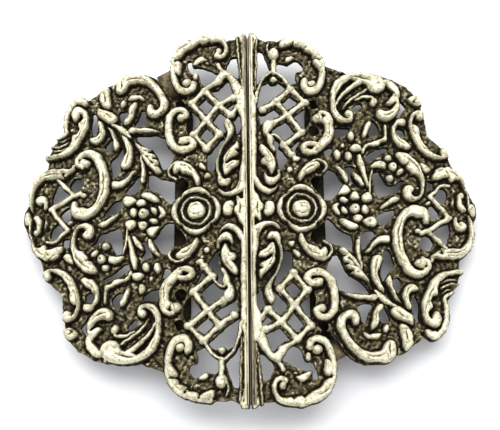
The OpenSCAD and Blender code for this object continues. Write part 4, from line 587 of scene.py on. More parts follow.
# Graver lines, cut into what is raised.
VEINS = [
    [(-1.2, 39.8), (-1.2, 36), (-1.2, 29)],
    [(-1.15, -28), (-1.2, -34), (-1.3, -39.6)],
    [(-1.4, -32), (-1.5, -36), (-1.7, -39.4)],
    [(-16.4, -34.9), (-15.2, -34.7), (-14.2, -34.9)],
    [(-13.2, -38.2), (-12.6, -37.2), (-12, -36.6)],
    [(-10.2, -39.3), (-9.9, -38.5), (-9.8, -37.6)],
    [(-16.2, -31.8), (-15.2, -32), (-14.3, -32.6)],
    [(-42.4, -10.1), (-41, -9), (-39.2, -8.2)],
    [(-41.4, -10.7), (-40.2, -9.8), (-38.8, -9)],
    [(-37.8, -24.6), (-36.6, -24.6), (-35.4, -25.6)],
    [(-37.2, -25.8), (-36.4, -25.2), (-35.8, -24.2)],
    [(-37.9, 20.6), (-37, 21.6), (-35.9, 22)],
    [(-31, -28), (-32, -27), (-32.2, -25.8)],
    [(-14.8, -19.4), (-15.2, -20.4), (-14.6, -21.4)],
    [(-16.6, -17), (-15.8, -15.9), (-14.6, -15.3)],
    [(-21.7, 31.1), (-20.2, 29.4), (-18.8, 27)],
    [(-4.8, 8.4), (-4.6, 10.6), (-3.7, 12.6), (-2.4, 14.2)],
    [(-4.7, 8.4), (-3.7, 9.6), (-2.2, 10)],
    [(-5, -8.8), (-4.9, -10.6), (-3.9, -12.4), (-2.6, -13.7)],
    [(-4.7, -9.6), (-3.8, -10.2), (-3, -10.4)],
    [(-24.4, 16.2), (-22.8, 13.6), (-20.8, 11.2), (-19, 9)],
    [(-22.6, 13.7), (-21.8, 13.7), (-20.8, 13.5)],
    [(-21.8, 12.3), (-21, 12.3), (-19.9, 12.1)],
    [(-20.9, 11.1), (-20.2, 10.9), (-19.3, 10.5)],
    [(-31.9, 11.2), (-30.9, 8.4), (-30.9, 5), (-31.9, 2.2), (-33.6, 0.6)],
    [(-45.6, 7.4), (-44.4, 8.9), (-42.6, 9.4), (-40.6, 9.4)],
    [(-44.6, 9.6), (-43, 10), (-41, 10)],
    [(-36, 20.8), (-36.6, 18.6), (-37.8, 16.2)],
    [(-35.7, 23.8), (-35.5, 21.8), (-35.7, 20)],
    [(-32.2, 23.6), (-30.8, 22.8), (-29.3, 21.6)],
    [(-31.7, 28), (-31.3, 26.6), (-31.2, 25.2)],
    [(-26.5, 16.8), (-25.7, 14.6), (-25.9, 12), (-26.4, 10.6)],
    [(-29.3, 18.4), (-28.7, 16.8), (-28.4, 15)],
    [(-32.3, -23.4), (-31, -21.8), (-29.2, -21.3)],
    [(-43, -6.8), (-42.4, -8), (-41.8, -9.3)],
    [(-45.4, -6.2), (-44.2, -7.8), (-42.8, -8.9)],
    [(-3.5, 1.2), (-3.3, 0.2), (-3.5, -1)],
    [(-1.9, 2), (-1.6, 0.4), (-1.7, -1.6)],
    [(-14.6, 9.9), (-12.8, 9.6), (-11.4, 8.2), (-10.6, 6.6)],
    [(-14.2, -9.5), (-12.6, -9), (-11.3, -7.8)],
    [(-36.9, -5.6), (-36.5, -8.4), (-35, -10.6), (-32.8, -12.1)],
    [(-34.6, -9.4), (-33.6, -10.6), (-32.4, -11.6)],
    [(-39.6, -12.3), (-37.6, -14), (-36.6, -16.2)],
    [(-36, -16.8), (-35.5, -18.4), (-35.5, -20)],
    [(-33.8, -14.5), (-32.2, -16), (-31.4, -18.2)],
    [(-16.4, -15), (-17.3, -17), (-17.2, -19.4)],
    [(-15.4, -13.5), (-13.6, -12.7), (-12, -13)],
    [(-21.8, -20.3), (-20, -20.5), (-18.7, -22.4), (-18.5, -25.6)],
    [(-15.7, 36.4), (-14.6, 37.6), (-13, 38.5)],
    [(-26.8, 30.4), (-24.8, 30.9), (-22.8, 30.6)],
    [(-27.8, 30.6), (-27.6, 29.2), (-27.9, 28)],
    [(-19.2, 21.9), (-18.2, 22.9), (-17.8, 24.6)],
    [(-27.2, -29.6), (-25.6, -30), (-23.6, -30.5), (-21.6, -30)],
    [(-4.2, 19.4), (-3.8, 18), (-3.9, 16.6)],
    [(-4, -14.8), (-3.6, -16.4), (-3.6, -18)],
    [(-25.2, 24.4), (-25.2, 22.8), (-25.9, 21.2)],
    [(-34, 16.8), (-32.6, 16.9), (-31.8, 18.2), (-32, 20)],
    [(-2.4, 3.8), (-1.6, 5.6), (-1.2, 8.6)],
]

# Petals: middle, radius, height over the back.
PETALS = [((-22.1, -0.2), 1.15, 2.9), ((-30.8, -9.8), 1.0, 2.7)]

# The two square lattices: where their bars cross, and which two of these places each bar joins.
UPPER_KNOTS = [(-12.1, 24.6), (-9.3, 27.4), (-6.2, 23.9), (-8.9, 20.4), (-11.6, 17.2), (-6.1, 17),
    (-3.5, 21.3), (-8.9, 13.8), (-3, 25.4), (-1.9, 23)]
UPPER_BARS = [(0, 3), (3, 5), (1, 2), (1, 0), (2, 3), (3, 4), (4, 7), (5, 7), (2, 8), (6, 9), (2, 6)]
LOWER_KNOTS = [(-11.4, -17.4), (-8.4, -21.3), (-12.3, -24.4), (-6, -24.5), (-7.5, -14.2), (-9.2, -27.4),
    (-3.1, -22.5), (-5, -19.2), (-9.2, -12.2)]
LOWER_BARS = [(4, 0), (0, 1), (1, 2), (2, 5), (1, 3), (3, 5), (3, 6), (1, 7), (4, 8)]

# How a stem is chased: how much of its half width its shoulder takes, and a groove that follows its crest
# (its place in half widths from the middle, and its depth in mm).
WORK = {"round": (0.6, None), "plain": (0.45, None), "band": (0.35, (0.6, 0.15))}

STEP = 0.19  # spacing of the surface's points, mm
FAR = 9.0  # more than any distance that matters here, mm
FOOT = 0.25  # how deep in the ground a raised form starts, mm
RUBBED_SIDE = 0.4  # width of a form's side over which the rubbing grows, mm
RUB_START, RUB_SPAN = 0.2, 0.68  # where on that side it starts, and over how much of it it grows
CORNER = 0.22  # softening of the pierced corners, mm
BEYOND = 0.35  # how far the ground's height goes on beyond the metal's edge, mm
LEAF_GROWTH = 0.15  # how far a leaf reaches beyond its drawn line, mm
SPREAD = 1.4  # a stem's width at its foot, in widths of the table
GROOVE_WIDTH, GROOVE_RUB = 0.16, 0.35  # in half widths, and how much less a groove is rubbed
BALL_SIZE, BALL_RISE = 0.85, 0.15  # in radii of the table, and mm above its stem
PIT_SIZE, PIT_DARK = 0.3, 1.6  # a dimple's size in radii, and loss of brightness per mm of depth
RING_SHOULDER, RING_SIDE = 0.5, 0.3  # in half widths, and the width of its rubbed side in mm
RING_FLOOR = BLACKENED + 0.1  # how bright the cleared floor in a ring is left
VEIN_HALF, VEIN_DEPTH, VEIN_DARK = 0.24, 0.25, 0.75  # mm, mm, and the share of the brightness lost
# How far beyond each kind of form the grid is worked on, mm.
EDGE_MARGIN, LEAF_MARGIN, VEIN_MARGIN, STEM_MARGIN, RING_REACH = 4, 0.5, 0.6, 0.3, 6


def smooth_path(points, step=0.12):
    """Points along a smooth line through the given ones, and each one's share of the way in points."""
    given = np.array(points, float)
    given = np.vstack([2 * given[0] - given[1], given, 2 * given[-1] - given[-2]])
    pieces, share = [], []
    for k in range(1, len(given) - 2):
        count = max(2, int(np.linalg.norm(given[k + 1] - given[k]) / step))
        way = np.arange(count)[:, None] / count
        a, b, c, d = given[k - 1 : k + 3]
        bend, twist = 2 * a - 5 * b + 4 * c - d, 3 * b - a - 3 * c + d
        pieces.append(0.5 * (2 * b + (c - a) * way + bend * way**2 + twist * way**3))
        share.append((k - 1 + way[:, 0]) / (len(given) - 3))
    return np.vstack(pieces + [given[-2]]), np.append(np.concatenate(share), 1.0)


def crown(out, shoulder):
    """Rise of a raised form from 1 in its middle, out = 0, to 0 at its foot, out = 1: a low crown
    with a round shoulder and a steep side."""
    side = np.clip((1 - out) / shoulder, 0, 1)
    return np.sqrt(side * (2 - side)) * (1 - 0.3 * np.clip(out, 0, 1) ** 2)


def lifted(height, rise):
    """Height of a surface that goes from its foot in the ground, rise 0, to its full height, rise 1."""
    return GROUND - FOOT + (height - GROUND + FOOT) * rise


def soften(field, radius):
    """The field, blurred by a Gaussian of this many points."""
    reach = int(3 * radius) + 1
    weight = np.exp(-0.5 * (np.arange(-reach, reach + 1) / radius) ** 2)
    weight /= weight.sum()
    for axis in (0, 1):
        wide = np.pad(field, [(reach, reach) if a == axis else (0, 0) for a in (0, 1)], mode="edge")
        length = field.shape[axis]
        field = sum(part * np.take(wide, range(k, k + length), axis) for k, part in enumerate(weight))
    return field


class Relief:
    """The surface of a casting over a fine grid: its height over the back, how far each point lies
    inside the metal's edge, and how bright it is rubbed."""

    def __init__(self, low, high):
        x = np.arange(low[0], high[0] + STEP, STEP)
        y = np.arange(low[1], high[1] + STEP, STEP)
        self.X, self.Y = np.meshgrid(x, y)
        self.top = np.full(self.X.shape, 0.0)
        self.edge = np.full(self.X.shape, -FAR)
        self.wear = np.full(self.X.shape, BLACKENED)

    def window(self, points, reach):
        """The grid's rows and columns that lie this near to any of the points."""
        low, high = np.min(points, 0) - reach, np.max(points, 0) + reach
        rows, columns = self.Y[:, 0], self.X[0]
        i = slice(max(0, np.searchsorted(rows, low[1])), np.searchsorted(rows, high[1]))
        j = slice(max(0, np.searchsorted(columns, low[0])), np.searchsorted(columns, high[0]))
        return i, j

    def raise_to(self, area, height, inside, rubbed):
        """Takes the higher surface; rubbed, 0 to 1, says how far up its own side each point lies."""
        higher = height > self.top[area]
        self.wear[area] = np.where(higher, np.clip((rubbed - RUB_START) / RUB_SPAN, 0, 1), self.wear[area])
        self.top[area] = np.maximum(self.top[area], height)
        self.edge[area] = np.maximum(self.edge[area], inside)

    def sheet(self, outline, gaps):
        """The ground inside the outline and outside the gaps."""
        field = self.polygon(outline, EDGE_MARGIN)
        for _, gap in gaps:
            field = np.minimum(field, -self.polygon(gap, EDGE_MARGIN))
        field = soften(np.clip(field, -1, 1), CORNER / STEP)
        self.edge = np.maximum(self.edge, field)
        self.top = np.maximum(self.top, np.where(field > -BEYOND, GROUND, 0))

    def polygon(self, corners, reach):
        """Distance inside a polygon; what lies further out than the reach counts as far out."""
        points = np.array(corners, float)
        area = self.window(points, reach)
        X, Y = self.X[area], self.Y[area]
        near, odd = np.full(X.shape, FAR), np.zeros(X.shape, bool)
        for (ax, ay), (bx, by) in zip(points, np.roll(points, -1, 0)):
            run_x, run_y = bx - ax, by - ay
            way = np.clip(((X - ax) * run_x + (Y - ay) * run_y) / (run_x * run_x + run_y * run_y), 0, 1)
            near = np.minimum(near, np.hypot(X - ax - way * run_x, Y - ay - way * run_y))
            if ay != by:
                odd ^= ((ay > Y) != (by > Y)) & (X < ax + run_x * (Y - ay) / run_y)
        field = np.full(self.X.shape, -FAR)
        field[area] = np.where(odd, near, -near)
        return field

    def web(self, a, b, half):
        """Dark ground left standing along a lattice bar, this wide on either side of it."""
        area = self.window([a, b], half)
        X, Y = self.X[area] - a[0], self.Y[area] - a[1]
        run_x, run_y = b[0] - a[0], b[1] - a[1]
        way = np.clip((X * run_x + Y * run_y) / (run_x * run_x + run_y * run_y), 0, 1)
        inside = half - np.hypot(X - way * run_x, Y - way * run_y)
        self.top[area] = np.maximum(self.top[area], np.where(inside > 0, GROUND, 0))
        self.edge[area] = np.maximum(self.edge[area], inside)

    def leaf(self, corners, height, shoulder):
        """A raised form inside a smooth closed line, with a shoulder this wide round it."""
        path, _ = smooth_path(corners + corners[:1], 0.3)
        field = self.polygon(path[:-1], LEAF_MARGIN)
        area = self.window(path, LEAF_MARGIN)
        inside = field[area] + LEAF_GROWTH
        surface = lifted(height, crown(1 - np.clip(inside / shoulder, 0, 1), 1))
        self.raise_to(area, np.where(inside > 0, surface, 0), inside, inside / RUBBED_SIDE)

    def vein(self, spine):
        """A line cut with a graver, widest in its middle, that keeps some of the black."""
        path, ways = smooth_path(spine)
        area = self.window(path, VEIN_MARGIN)
        near = np.full(self.X[area].shape, FAR)
        for (x, y), share in zip(path, ways):
            half = VEIN_HALF * math.sin(math.pi * (0.1 + 0.8 * share))
            near = np.minimum(near, np.hypot(self.X[area] - x, self.Y[area] - y) / half)
        cut = np.exp(-(near**2))
        self.top[area] -= VEIN_DEPTH * cut
        self.wear[area] *= 1 - VEIN_DARK * cut

    def stem(self, widths, height, balls, work, spine):
        """A raised stem along a spine, with a ball of this radius at either end, or none where it is 0."""
        shoulder, groove = WORK[work]
        path, ways = smooth_path(spine)
        half = np.interp(ways, [0, 0.5, 1], widths) / 2 * SPREAD
        area = self.window(path, half.max() + STEM_MARGIN)
        X, Y = self.X[area], self.Y[area]
        out, near = np.full(X.shape, np.inf), np.zeros(X.shape, int)
        for k in range(len(path)):
            away = np.hypot(X - path[k, 0], Y - path[k, 1]) / half[k]
            closer = away < out
            out[closer], near[closer] = away[closer], k
        reach = half[near]
        inside = (1 - out) * reach
        surface, rubbed = lifted(height, crown(out, shoulder)), np.clip(inside / RUBBED_SIDE, 0, 1)
        if groove:
            spot, depth = groove
            ahead = np.gradient(path, axis=0)
            ahead /= np.linalg.norm(ahead, axis=1)[:, None] + 1e-9
            side = (ahead[near, 0] * (Y - path[near, 1]) - ahead[near, 1] * (X - path[near, 0])) / reach
            fade = np.clip(np.minimum(ways[near], 1 - ways[near]) * 8, 0, 1)
            cut = fade * np.exp(-(((side - spot) / GROOVE_WIDTH) ** 2))
            surface, rubbed = surface - depth * cut, rubbed - GROOVE_RUB * cut
        self.raise_to(area, np.where(out < 1, surface, 0), inside, rubbed)
        for spot, radius in zip((path[0], path[-1]), balls):
            if radius:
                self.bead(spot, (radius * BALL_SIZE, radius * BALL_SIZE), 0, height + BALL_RISE)

    def bead(self, middle, radii, turn, height, dimple=0.0, shoulder=0.7):
        """A round or oval dome, turned by some degrees, with a dimple of this depth in its middle."""
        angle = math.radians(turn)
        area = self.window([middle], max(radii) + STEM_MARGIN)
        dx, dy = self.X[area] - middle[0], self.Y[area] - middle[1]
        along = dx * math.cos(angle) + dy * math.sin(angle)
        aside = dy * math.cos(angle) - dx * math.sin(angle)
        out = np.hypot(along / radii[0], aside / radii[1])
        pit = np.exp(-((out / PIT_SIZE) ** 2))
        surface = lifted(height, crown(out, shoulder)) - dimple * pit
        inside = (1 - out) * min(radii)
        rubbed = np.clip(inside / RUBBED_SIDE, 0, 1) - dimple * PIT_DARK * pit
        self.raise_to(area, np.where(out < 1, surface, 0), inside, rubbed)

    def ring(self, middle, radius, width, height, floor=None):
        """A raised ring; radius and width are functions of the angle. A floor is the height to which what
        lies inside it is cleared first."""
        area = self.window([middle], RING_REACH)
        dx, dy = self.X[area] - middle[0], self.Y[area] - middle[1]
        angle = np.arctan2(dy, dx)
        away = np.hypot(dx, dy) - radius(angle)
        if floor is not None:
            self.top[area] = np.where(away < 0, floor, self.top[area])
            self.wear[area] = np.where(away < 0, RING_FLOOR, self.wear[area])
            self.edge[area] = np.maximum(self.edge[area], -away)
        half = width(angle) / 2
        out = np.abs(away) / half
        inside = (1 - out) * half
        surface = lifted(height, crown(out, RING_SHOULDER))
        self.raise_to(area, np.where(out < 1, surface, 0), inside, inside / RING_SIDE)


LATTICE_WEB, LATTICE_WIDTHS, LATTICE_HEIGHT = 0.95, (1.15, 0.75, 1.15), 2.1
KNOT_RADII, KNOT_HEIGHT = (1.1, 1.0), 2.4
PETAL_GROWTH, PETAL_DIMPLE = 1.1, 0.5

left = Relief((-48.8, -41.3), (0.2, 41.3))
left.sheet(OUTLINE, GAPS)
for _, widths, height, balls, work, spine in STEMS:
    left.stem(widths, height, balls, work, spine)
for _, height, shoulder, corners in LEAVES:
    left.leaf(corners, height, shoulder)
for knots, bars in ((UPPER_KNOTS, UPPER_BARS), (LOWER_KNOTS, LOWER_BARS)):
    for a, b in bars:
        left.web(knots[a], knots[b], LATTICE_WEB)
        left.stem(LATTICE_WIDTHS, LATTICE_HEIGHT, (0, 0), "round", [knots[a], knots[b]])
    for knot in knots:
        left.bead(knot, KNOT_RADII, 0, KNOT_HEIGHT)
for middle, radii, turn, height in BEADS:
    left.bead(middle, radii, turn, height)
for middle, radius, height in PETALS:
    left.bead(middle, (radius * PETAL_GROWTH, radius * PETAL_GROWTH), 0, height, dimple=PETAL_DIMPLE)
for spine in VEINS:
    left.vein(spine)

# The rosette: a rim of four lobes, a plain ring, and a boss with two graver lines.
ROSETTE = (-10.9, -0.1)


def lobes(angle):
    """1 in the middle of each of the four lobes, 0 between them."""
    return np.abs(np.cos(2 * angle))


left.ring(ROSETTE, lambda a: 4.05 + 0.6 * np.sqrt(lobes(a)), lambda a: 0.5 + 0.85 * lobes(a), 2.6, floor=1.5)
left.ring(ROSETTE, lambda a: 2.95, lambda a: 0.6, 2.4)
left.bead(ROSETTE, (2.1, 2.05), 0, 2.85, dimple=0.15, shoulder=0.3)
for spine in ([(-12.2, 0.6), (-11.2, 1.1), (-10, 0.8)], [(-11.9, -0.8), (-10.8, -1.2), (-9.8, -0.7)]):
    left.vein(spine)


def between_points(field, rows, columns):
    """The field's values at places between its points, given in rows and columns."""
    i = np.clip(rows.astype(int), 0, field.shape[0] - 2)
    j = np.clip(columns.astype(int), 0, field.shape[1] - 2)
    a, b = rows - i, columns - j
    here = (1 - b) * field[i, j] + b * field[i, j + 1]
    after = (1 - b) * field[i + 1, j] + b * field[i + 1, j + 1]
    return (1 - a) * here + a * after


# Small unevenness of a hand-finished casting: soft waves over all, a matted ground, and every form
# strays a little from its line.
WAVE_SIZE, WAVE_DEPTH = 1.1, 0.035  # mm
MATTE_SIZE, MATTE_DEPTH, MATTE_RUB = 0.2, 0.09, 0.08  # mm, mm, and how much its grains differ in brightness
STRAYING = ((0.42, 0.32), (0.2, 0.14))  # size in mm, amount in grid steps
dice = np.random.default_rng(11)
wave = soften(dice.standard_normal(left.top.shape), WAVE_SIZE / STEP)
matte = soften(dice.standard_normal(left.top.shape), MATTE_SIZE / STEP)
wave, matte = wave / wave.std(), matte / matte.std()
rows, columns = np.mgrid[:left.top.shape[0], :left.top.shape[1]].astype(float)
for places in (rows, columns):
    for size, amount in STRAYING:
        stray = soften(dice.standard_normal(left.top.shape), size / STEP)
        places += amount * stray / stray.std()
left.top = between_points(left.top, rows, columns)
left.wear = between_points(left.wear, rows, columns)
left.edge = between_points(left.edge, rows, columns)

# The forms are cut off at a level plane, 9.74 mm above the table, and what lies low is matted.
CEILING, CEILING_RISE = 2.55, 0.0958  # mm over the back at the seam, and mm more per mm away from it
BLUNTING = 0.22  # grid steps, which only just touches a sharp crest
MATTED_BELOW, MATTED_FADE = 1.75, 0.5  # mm over the back, and over how many mm it comes in
low_lying = np.clip((MATTED_BELOW - left.top) / MATTED_FADE, 0, 1)
left.top = soften(np.minimum(left.top, CEILING - CEILING_RISE * left.X), BLUNTING)
left.top = left.top + WAVE_DEPTH * wave + MATTE_DEPTH * matte * low_lying

# The metal ends just short of the seam, behind its ribs, and at the buckle's full width and height.
SEAM_GAP, HALF_WIDTH, HALF_HEIGHT = 0.15, 48.2, 40.9  # mm
for trimmed in (-SEAM_GAP - left.X, HALF_WIDTH + left.X, HALF_HEIGHT - np.abs(left.Y)):
    left.edge = np.minimum(left.edge, trimmed)

# The polishing mops reach the tops of all that is raised, and less of what lies low beside something
# higher. Such hollows are also made a little deeper.
HOLLOW_SIZE, HOLLOW_MOST = 0.38, 0.3  # mm: the size of what counts as beside, and the depth that counts
HOLLOW_DARK, HOLLOW_DEEPER = 4.5, 0.5  # loss of brightness per mm, and deepening per mm
hollow = np.clip(soften(left.top, HOLLOW_SIZE / STEP) - left.top, 0, HOLLOW_MOST)
left.wear = np.clip((left.wear + MATTE_RUB * matte * low_lying) * (1 - HOLLOW_DARK * hollow), 0, 1)
left.top -= HOLLOW_DEEPER * hollow

# The rim's worn edge: how far it reaches down, and its lowest place over the back, mm.
WORN_DEPTH, WORN_LOWEST = 0.12, 0.3
SHARP_FROM = math.radians(50)  # two faces that meet at more than this show an edge


def casting(relief, name, turn, material):
    """The relief as a closed mesh: marching squares along its edge, upright walls and a flat back."""
    field = relief.edge
    inside = field > 0
    ids = np.full(field.shape, -1)
    ids[inside] = np.arange(inside.sum())
    grid = np.stack([relief.X, relief.Y, relief.top, relief.wear], 2)
    points = [grid[inside]]
    count = int(inside.sum())

    def crossings(a, b, level_a, level_b):
        """Numbers of new points where the edge crosses the grid lines from a to b, as high as the metal
        and a tenth or more of the way from either end, so that no face is a sliver."""
        nonlocal count
        cut = (level_a > 0) != (level_b > 0)
        share = np.clip(level_a[cut] / (level_a[cut] - level_b[cut]), 0.1, 0.9)[:, None]
        spots = a[cut] * (1 - share) + b[cut] * share
        spots[:, 2] = np.where(level_a[cut] > 0, a[cut][:, 2], b[cut][:, 2])
        points.append(spots)
        made = np.full(cut.shape, -1)
        made[cut] = count + np.arange(cut.sum())
        count += int(cut.sum())
        return made

    # The numbers of each square's four corners, and of the new points on its four sides, both going round
    # it anticlockwise; -1 where there is none.
    flat = crossings(grid[:, :-1], grid[:, 1:], field[:, :-1], field[:, 1:])
    upright = crossings(grid[:-1], grid[1:], field[:-1], field[1:])
    corner = [ids[:-1, :-1], ids[:-1, 1:], ids[1:, 1:], ids[1:, :-1]]
    between = [flat[:-1], upright[:, 1:], flat[1:], upright[:, :-1]]
    case = sum((number >= 0).astype(int) << k for k, number in enumerate(corner))
    faces, rim = [], []
    for kind in range(1, 16):
        here = case == kind
        if not here.any():
            continue
        on = [bool(kind >> k & 1) for k in range(4)]
        if kind in (5, 10):
            loops = [[between[k - 1], corner[k], between[k]] for k in range(4) if on[k]]
        else:
            loops = [[]]
            for k in range(4):
                if on[k]:
                    loops[0].append(corner[k])
                if on[k] != on[(k + 1) % 4]:
                    loops[0].append(between[k])
        for loop in loops:
            faces.append(np.stack([numbers[here] for numbers in loop], 1))
            for a, b in zip(loop, loop[1:] + loop[:1]):
                if any(a is new for new in between) and any(b is new for new in between):
                    rim.append(np.stack([a[here], b[here]], 1))
    points, rim = np.vstack(points), np.vstack(rim)

    # Walls go down from the rim, in a narrow worn edge and a tall dark side, to the back at height 0.
    on_rim = np.unique(rim)
    worn_edge, foot = points[on_rim].copy(), points[on_rim].copy()
    worn_edge[:, 2] = np.maximum(worn_edge[:, 2] - WORN_DEPTH, WORN_LOWEST)
    worn_edge[:, 3] *= 0.5
    foot[:, 2:] = 0
    middle = dict(zip(on_rim.tolist(), range(len(points), len(points) + len(on_rim))))
    bottom = {v: number + len(on_rim) for v, number in middle.items()}
    points = np.vstack([points, worn_edge, foot])
    walls = []
    for a, b in rim.tolist():
        walls.append([b, a, middle[a], middle[b]])
        walls.append([middle[b], middle[a], bottom[a], bottom[b]])

    # The back follows the same rim. The rim has the metal on its left, so a triangle with a side along it
    # lies on the metal, and so does each one that is reached from there without crossing the rim.
    rank = {v: k for k, v in enumerate(on_rim.tolist())}
    steps = [(rank[a], rank[b]) for a, b in rim.tolist()]
    found = delaunay_2d_cdt([Vector(points[v, :2]) for v in on_rim], steps, [], 0, 1e-6)
    triangles, sources = found[2], found[3]
    made = {k: v for v, source in enumerate(sources) for k in source}
    steps = {(made[a], made[b]) for a, b in steps}
    owner = {(tri[k - 1], tri[k]): n for n, tri in enumerate(triangles) for k in range(3)}
    waiting = [owner[step] for step in sorted(steps) if step in owner]
    metal = set(waiting)
    while waiting:
        tri = triangles[waiting.pop()]
        for k in range(3):
            side, far_side = (tri[k - 1], tri[k]), (tri[k], tri[k - 1])
            beyond = owner.get(far_side)
            if side not in steps and far_side not in steps and beyond is not None and beyond not in metal:
                metal.add(beyond)
                waiting.append(beyond)
    back = [[bottom[int(on_rim[sources[v][0]])] for v in reversed(triangles[n])] for n in sorted(metal)]

    mesh = bpy.data.meshes.new(name)
    top = [row for block in faces for row in block.tolist()]
    mesh.from_pydata((points[:, :3] * MM).tolist(), [], top + walls + back)
    wear = mesh.attributes.new("wear", "FLOAT", "POINT")
    wear.data.foreach_set("value", points[:, 3].astype(np.float32))
    turned = Matrix.Rotation(turn, 4, "Z")
    sloped = Matrix.Rotation(-math.radians(SLOPE), 4, "Y")
    mesh.transform(turned @ Matrix.Translation((0, 0, SEAM_Z * MM)) @ sloped)
    mesh.polygons.foreach_set("use_smooth", np.ones(len(mesh.polygons), bool))
    mesh.set_sharp_from_angle(angle=SHARP_FROM)
    mesh.materials.append(material)
    mesh.update()
    obj = bpy.data.objects.new(name, mesh)
    bpy.context.collection.objects.link(obj)
    return obj


# The colours of the silver by brightness, from 0, black in a hollow, to 1, a crest that is rubbed bright.
SILVER_TONES = [
    (0.0, (0.004, 0.003, 0.002)), (0.12, (0.016, 0.013, 0.005)), (0.26, (0.073, 0.058, 0.027)),
    (0.42, (0.17, 0.142, 0.08)), (0.62, (0.41, 0.37, 0.24)), (0.9, (0.70, 0.67, 0.50))]
silver = Finish("antiqued_silver")
mottle = noise(silver, 1.6, 4)
fine = noise(silver, 5.0, 3)
wear = silver.add("ShaderNodeAttribute", {"attribute_name": "wear"}, output="Fac")
patch = noise(silver, 0.7, 5)
# Crests are mottled by patches of three sizes, and the ground by two.
crest = 0.8 + (patch - 0.5) * 1.2 + (mottle - 0.5) * 1.2 + (fine - 0.5) * 1.2
ground = wear + (mottle - 0.5) * 0.5 + (fine - 0.5) * 0.8
brightness = ground + (wear + (fine - 0.5) * 0.8).between(0.38, 0.59) * (crest - ground)
shine = brightness.between(0.3, 0.9)
tone = silver.ramp(SILVER_TONES, brightness)
dents = silver.add("ShaderNodeBump", output="Normal", sockets={
    "Height": fine + mottle * 1.5, "Strength": 0.35, "Distance": 0.12 * MM})
silver.surface(Base_Color=tone, Metallic=shine * 0.5, Roughness=0.85 - 0.4 * shine, Normal=dents,
               Specular_IOR_Level=0.12)

left_casting = casting(left, "left_casting", 0, silver.material)
right_casting = casting(left, "right_casting", math.pi, silver.material)
for piece, node in ((left_casting, "left_half"), (right_casting, "right_half")):
    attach(piece, "root")
    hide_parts(node)

# Seam ribs
# The joining edge of each half is a straight moulding of narrow ribs, cast with it and filed
# true where the two meet. Each is one profile, swept along the seam.
RIB_LENGTH, RIB_GAP = 80.4, 0.02  # mm; the gap is from the seam's middle to each half's ribs
RIB_SPACING = 2  # mm from one section of the sweep to the next
# Distance from the seam and height over the casting's back, mm.
RIB_PROFILE = [
    (0, 0.05), (0, 1.2), (0.08, 1.6), (0.15, 2.0), (0.25, 2.12), (0.34, 2.05), (0.39, 1.68),
    (0.46, 1.68), (0.52, 2.1), (0.7, 2.22), (0.88, 2.15), (0.97, 1.75), (1.06, 1.3), (1.1, 0.05)]
SWEEP_NODES = {
    "in": "NodeGroupInput", "curve": "GeometryNodeMeshToCurve", "even": "GeometryNodeResampleCurve",
    "upright": "GeometryNodeSetCurveNormal", "section": "GeometryNodeObjectInfo",
    "shape": "GeometryNodeMeshToCurve", "sweep": "GeometryNodeCurveToMesh",
    "real": "GeometryNodeRealizeInstances", "dress": "GeometryNodeSetMaterial", "out": "NodeGroupOutput"}
# Each link: from a node and its output, to a node and its input.
SWEEP_LINKS = [
    ("in", "Geometry", "curve", "Mesh"), ("curve", "Curve", "even", "Curve"),
    ("in", "Spacing", "even", "Length"), ("even", "Curve", "upright", "Curve"),
    ("upright", "Curve", "sweep", "Curve"), ("in", "Profile", "section", "Object"),
    ("section", "Geometry", "shape", "Mesh"), ("shape", "Curve", "sweep", "Profile Curve"),
    ("sweep", "Mesh", "real", "Geometry"), ("real", "Geometry", "dress", "Geometry"),
    ("in", "Material", "dress", "Material"), ("dress", "Geometry", "out", "Geometry")]


def wire_object(name, points, closed):
    """A line of edges through points in millimetres."""
    count = len(points)
    edges = [(k, (k + 1) % count) for k in range(count if closed else count - 1)]
    mesh = bpy.data.meshes.new(name)
    mesh.from_pydata([tuple(c * MM for c in p) for p in points], edges, [])
    obj = bpy.data.objects.new(name, mesh)
    bpy.context.collection.objects.link(obj)
    return obj


def swept(name, spine, profile, material, spacing):
    """A piece made by Geometry Nodes: a profile swept along a spine, all in millimetres."""
    tree = bpy.data.node_groups.new(name, "GeometryNodeTree")
    for label, kind in (("Geometry", "Geometry"), ("Profile", "Object"), ("Spacing", "Float"),
                        ("Material", "Material")):
        tree.interface.new_socket(label, in_out="INPUT", socket_type="NodeSocket" + kind)
    tree.interface.new_socket("Geometry", in_out="OUTPUT", socket_type="NodeSocketGeometry")
    made = {label: tree.nodes.new(kind) for label, kind in SWEEP_NODES.items()}
    made["even"].mode = "LENGTH"
    made["upright"].mode = "Z_UP"
    made["sweep"].inputs["Fill Caps"].default_value = True
    for a, out, b, into in SWEEP_LINKS:
        tree.links.new(made[a].outputs[out], made[b].inputs[into])

    path = wire_object(name, spine, False)
    section = wire_object(name + "_section", [(x, -y, 0) for x, y in profile], True)
    modifier = path.modifiers.new("sweep", "NODES")
    modifier.node_group = tree
    values = {"Profile": section, "Material": material, "Spacing": spacing * MM}
    for item in tree.interface.items_tree:
        if item.in_out == "INPUT" and item.name in values:
            modifier[item.identifier] = values[item.name]
    bpy.context.view_layer.update()
    mesh = bpy.data.meshes.new_from_object(path.evaluated_get(bpy.context.evaluated_depsgraph_get()))
    path.modifiers.clear()
    path.data = mesh
    mesh.name = name
    mesh.materials.clear()
    mesh.materials.append(material)
    bpy.data.objects.remove(section)
    return path


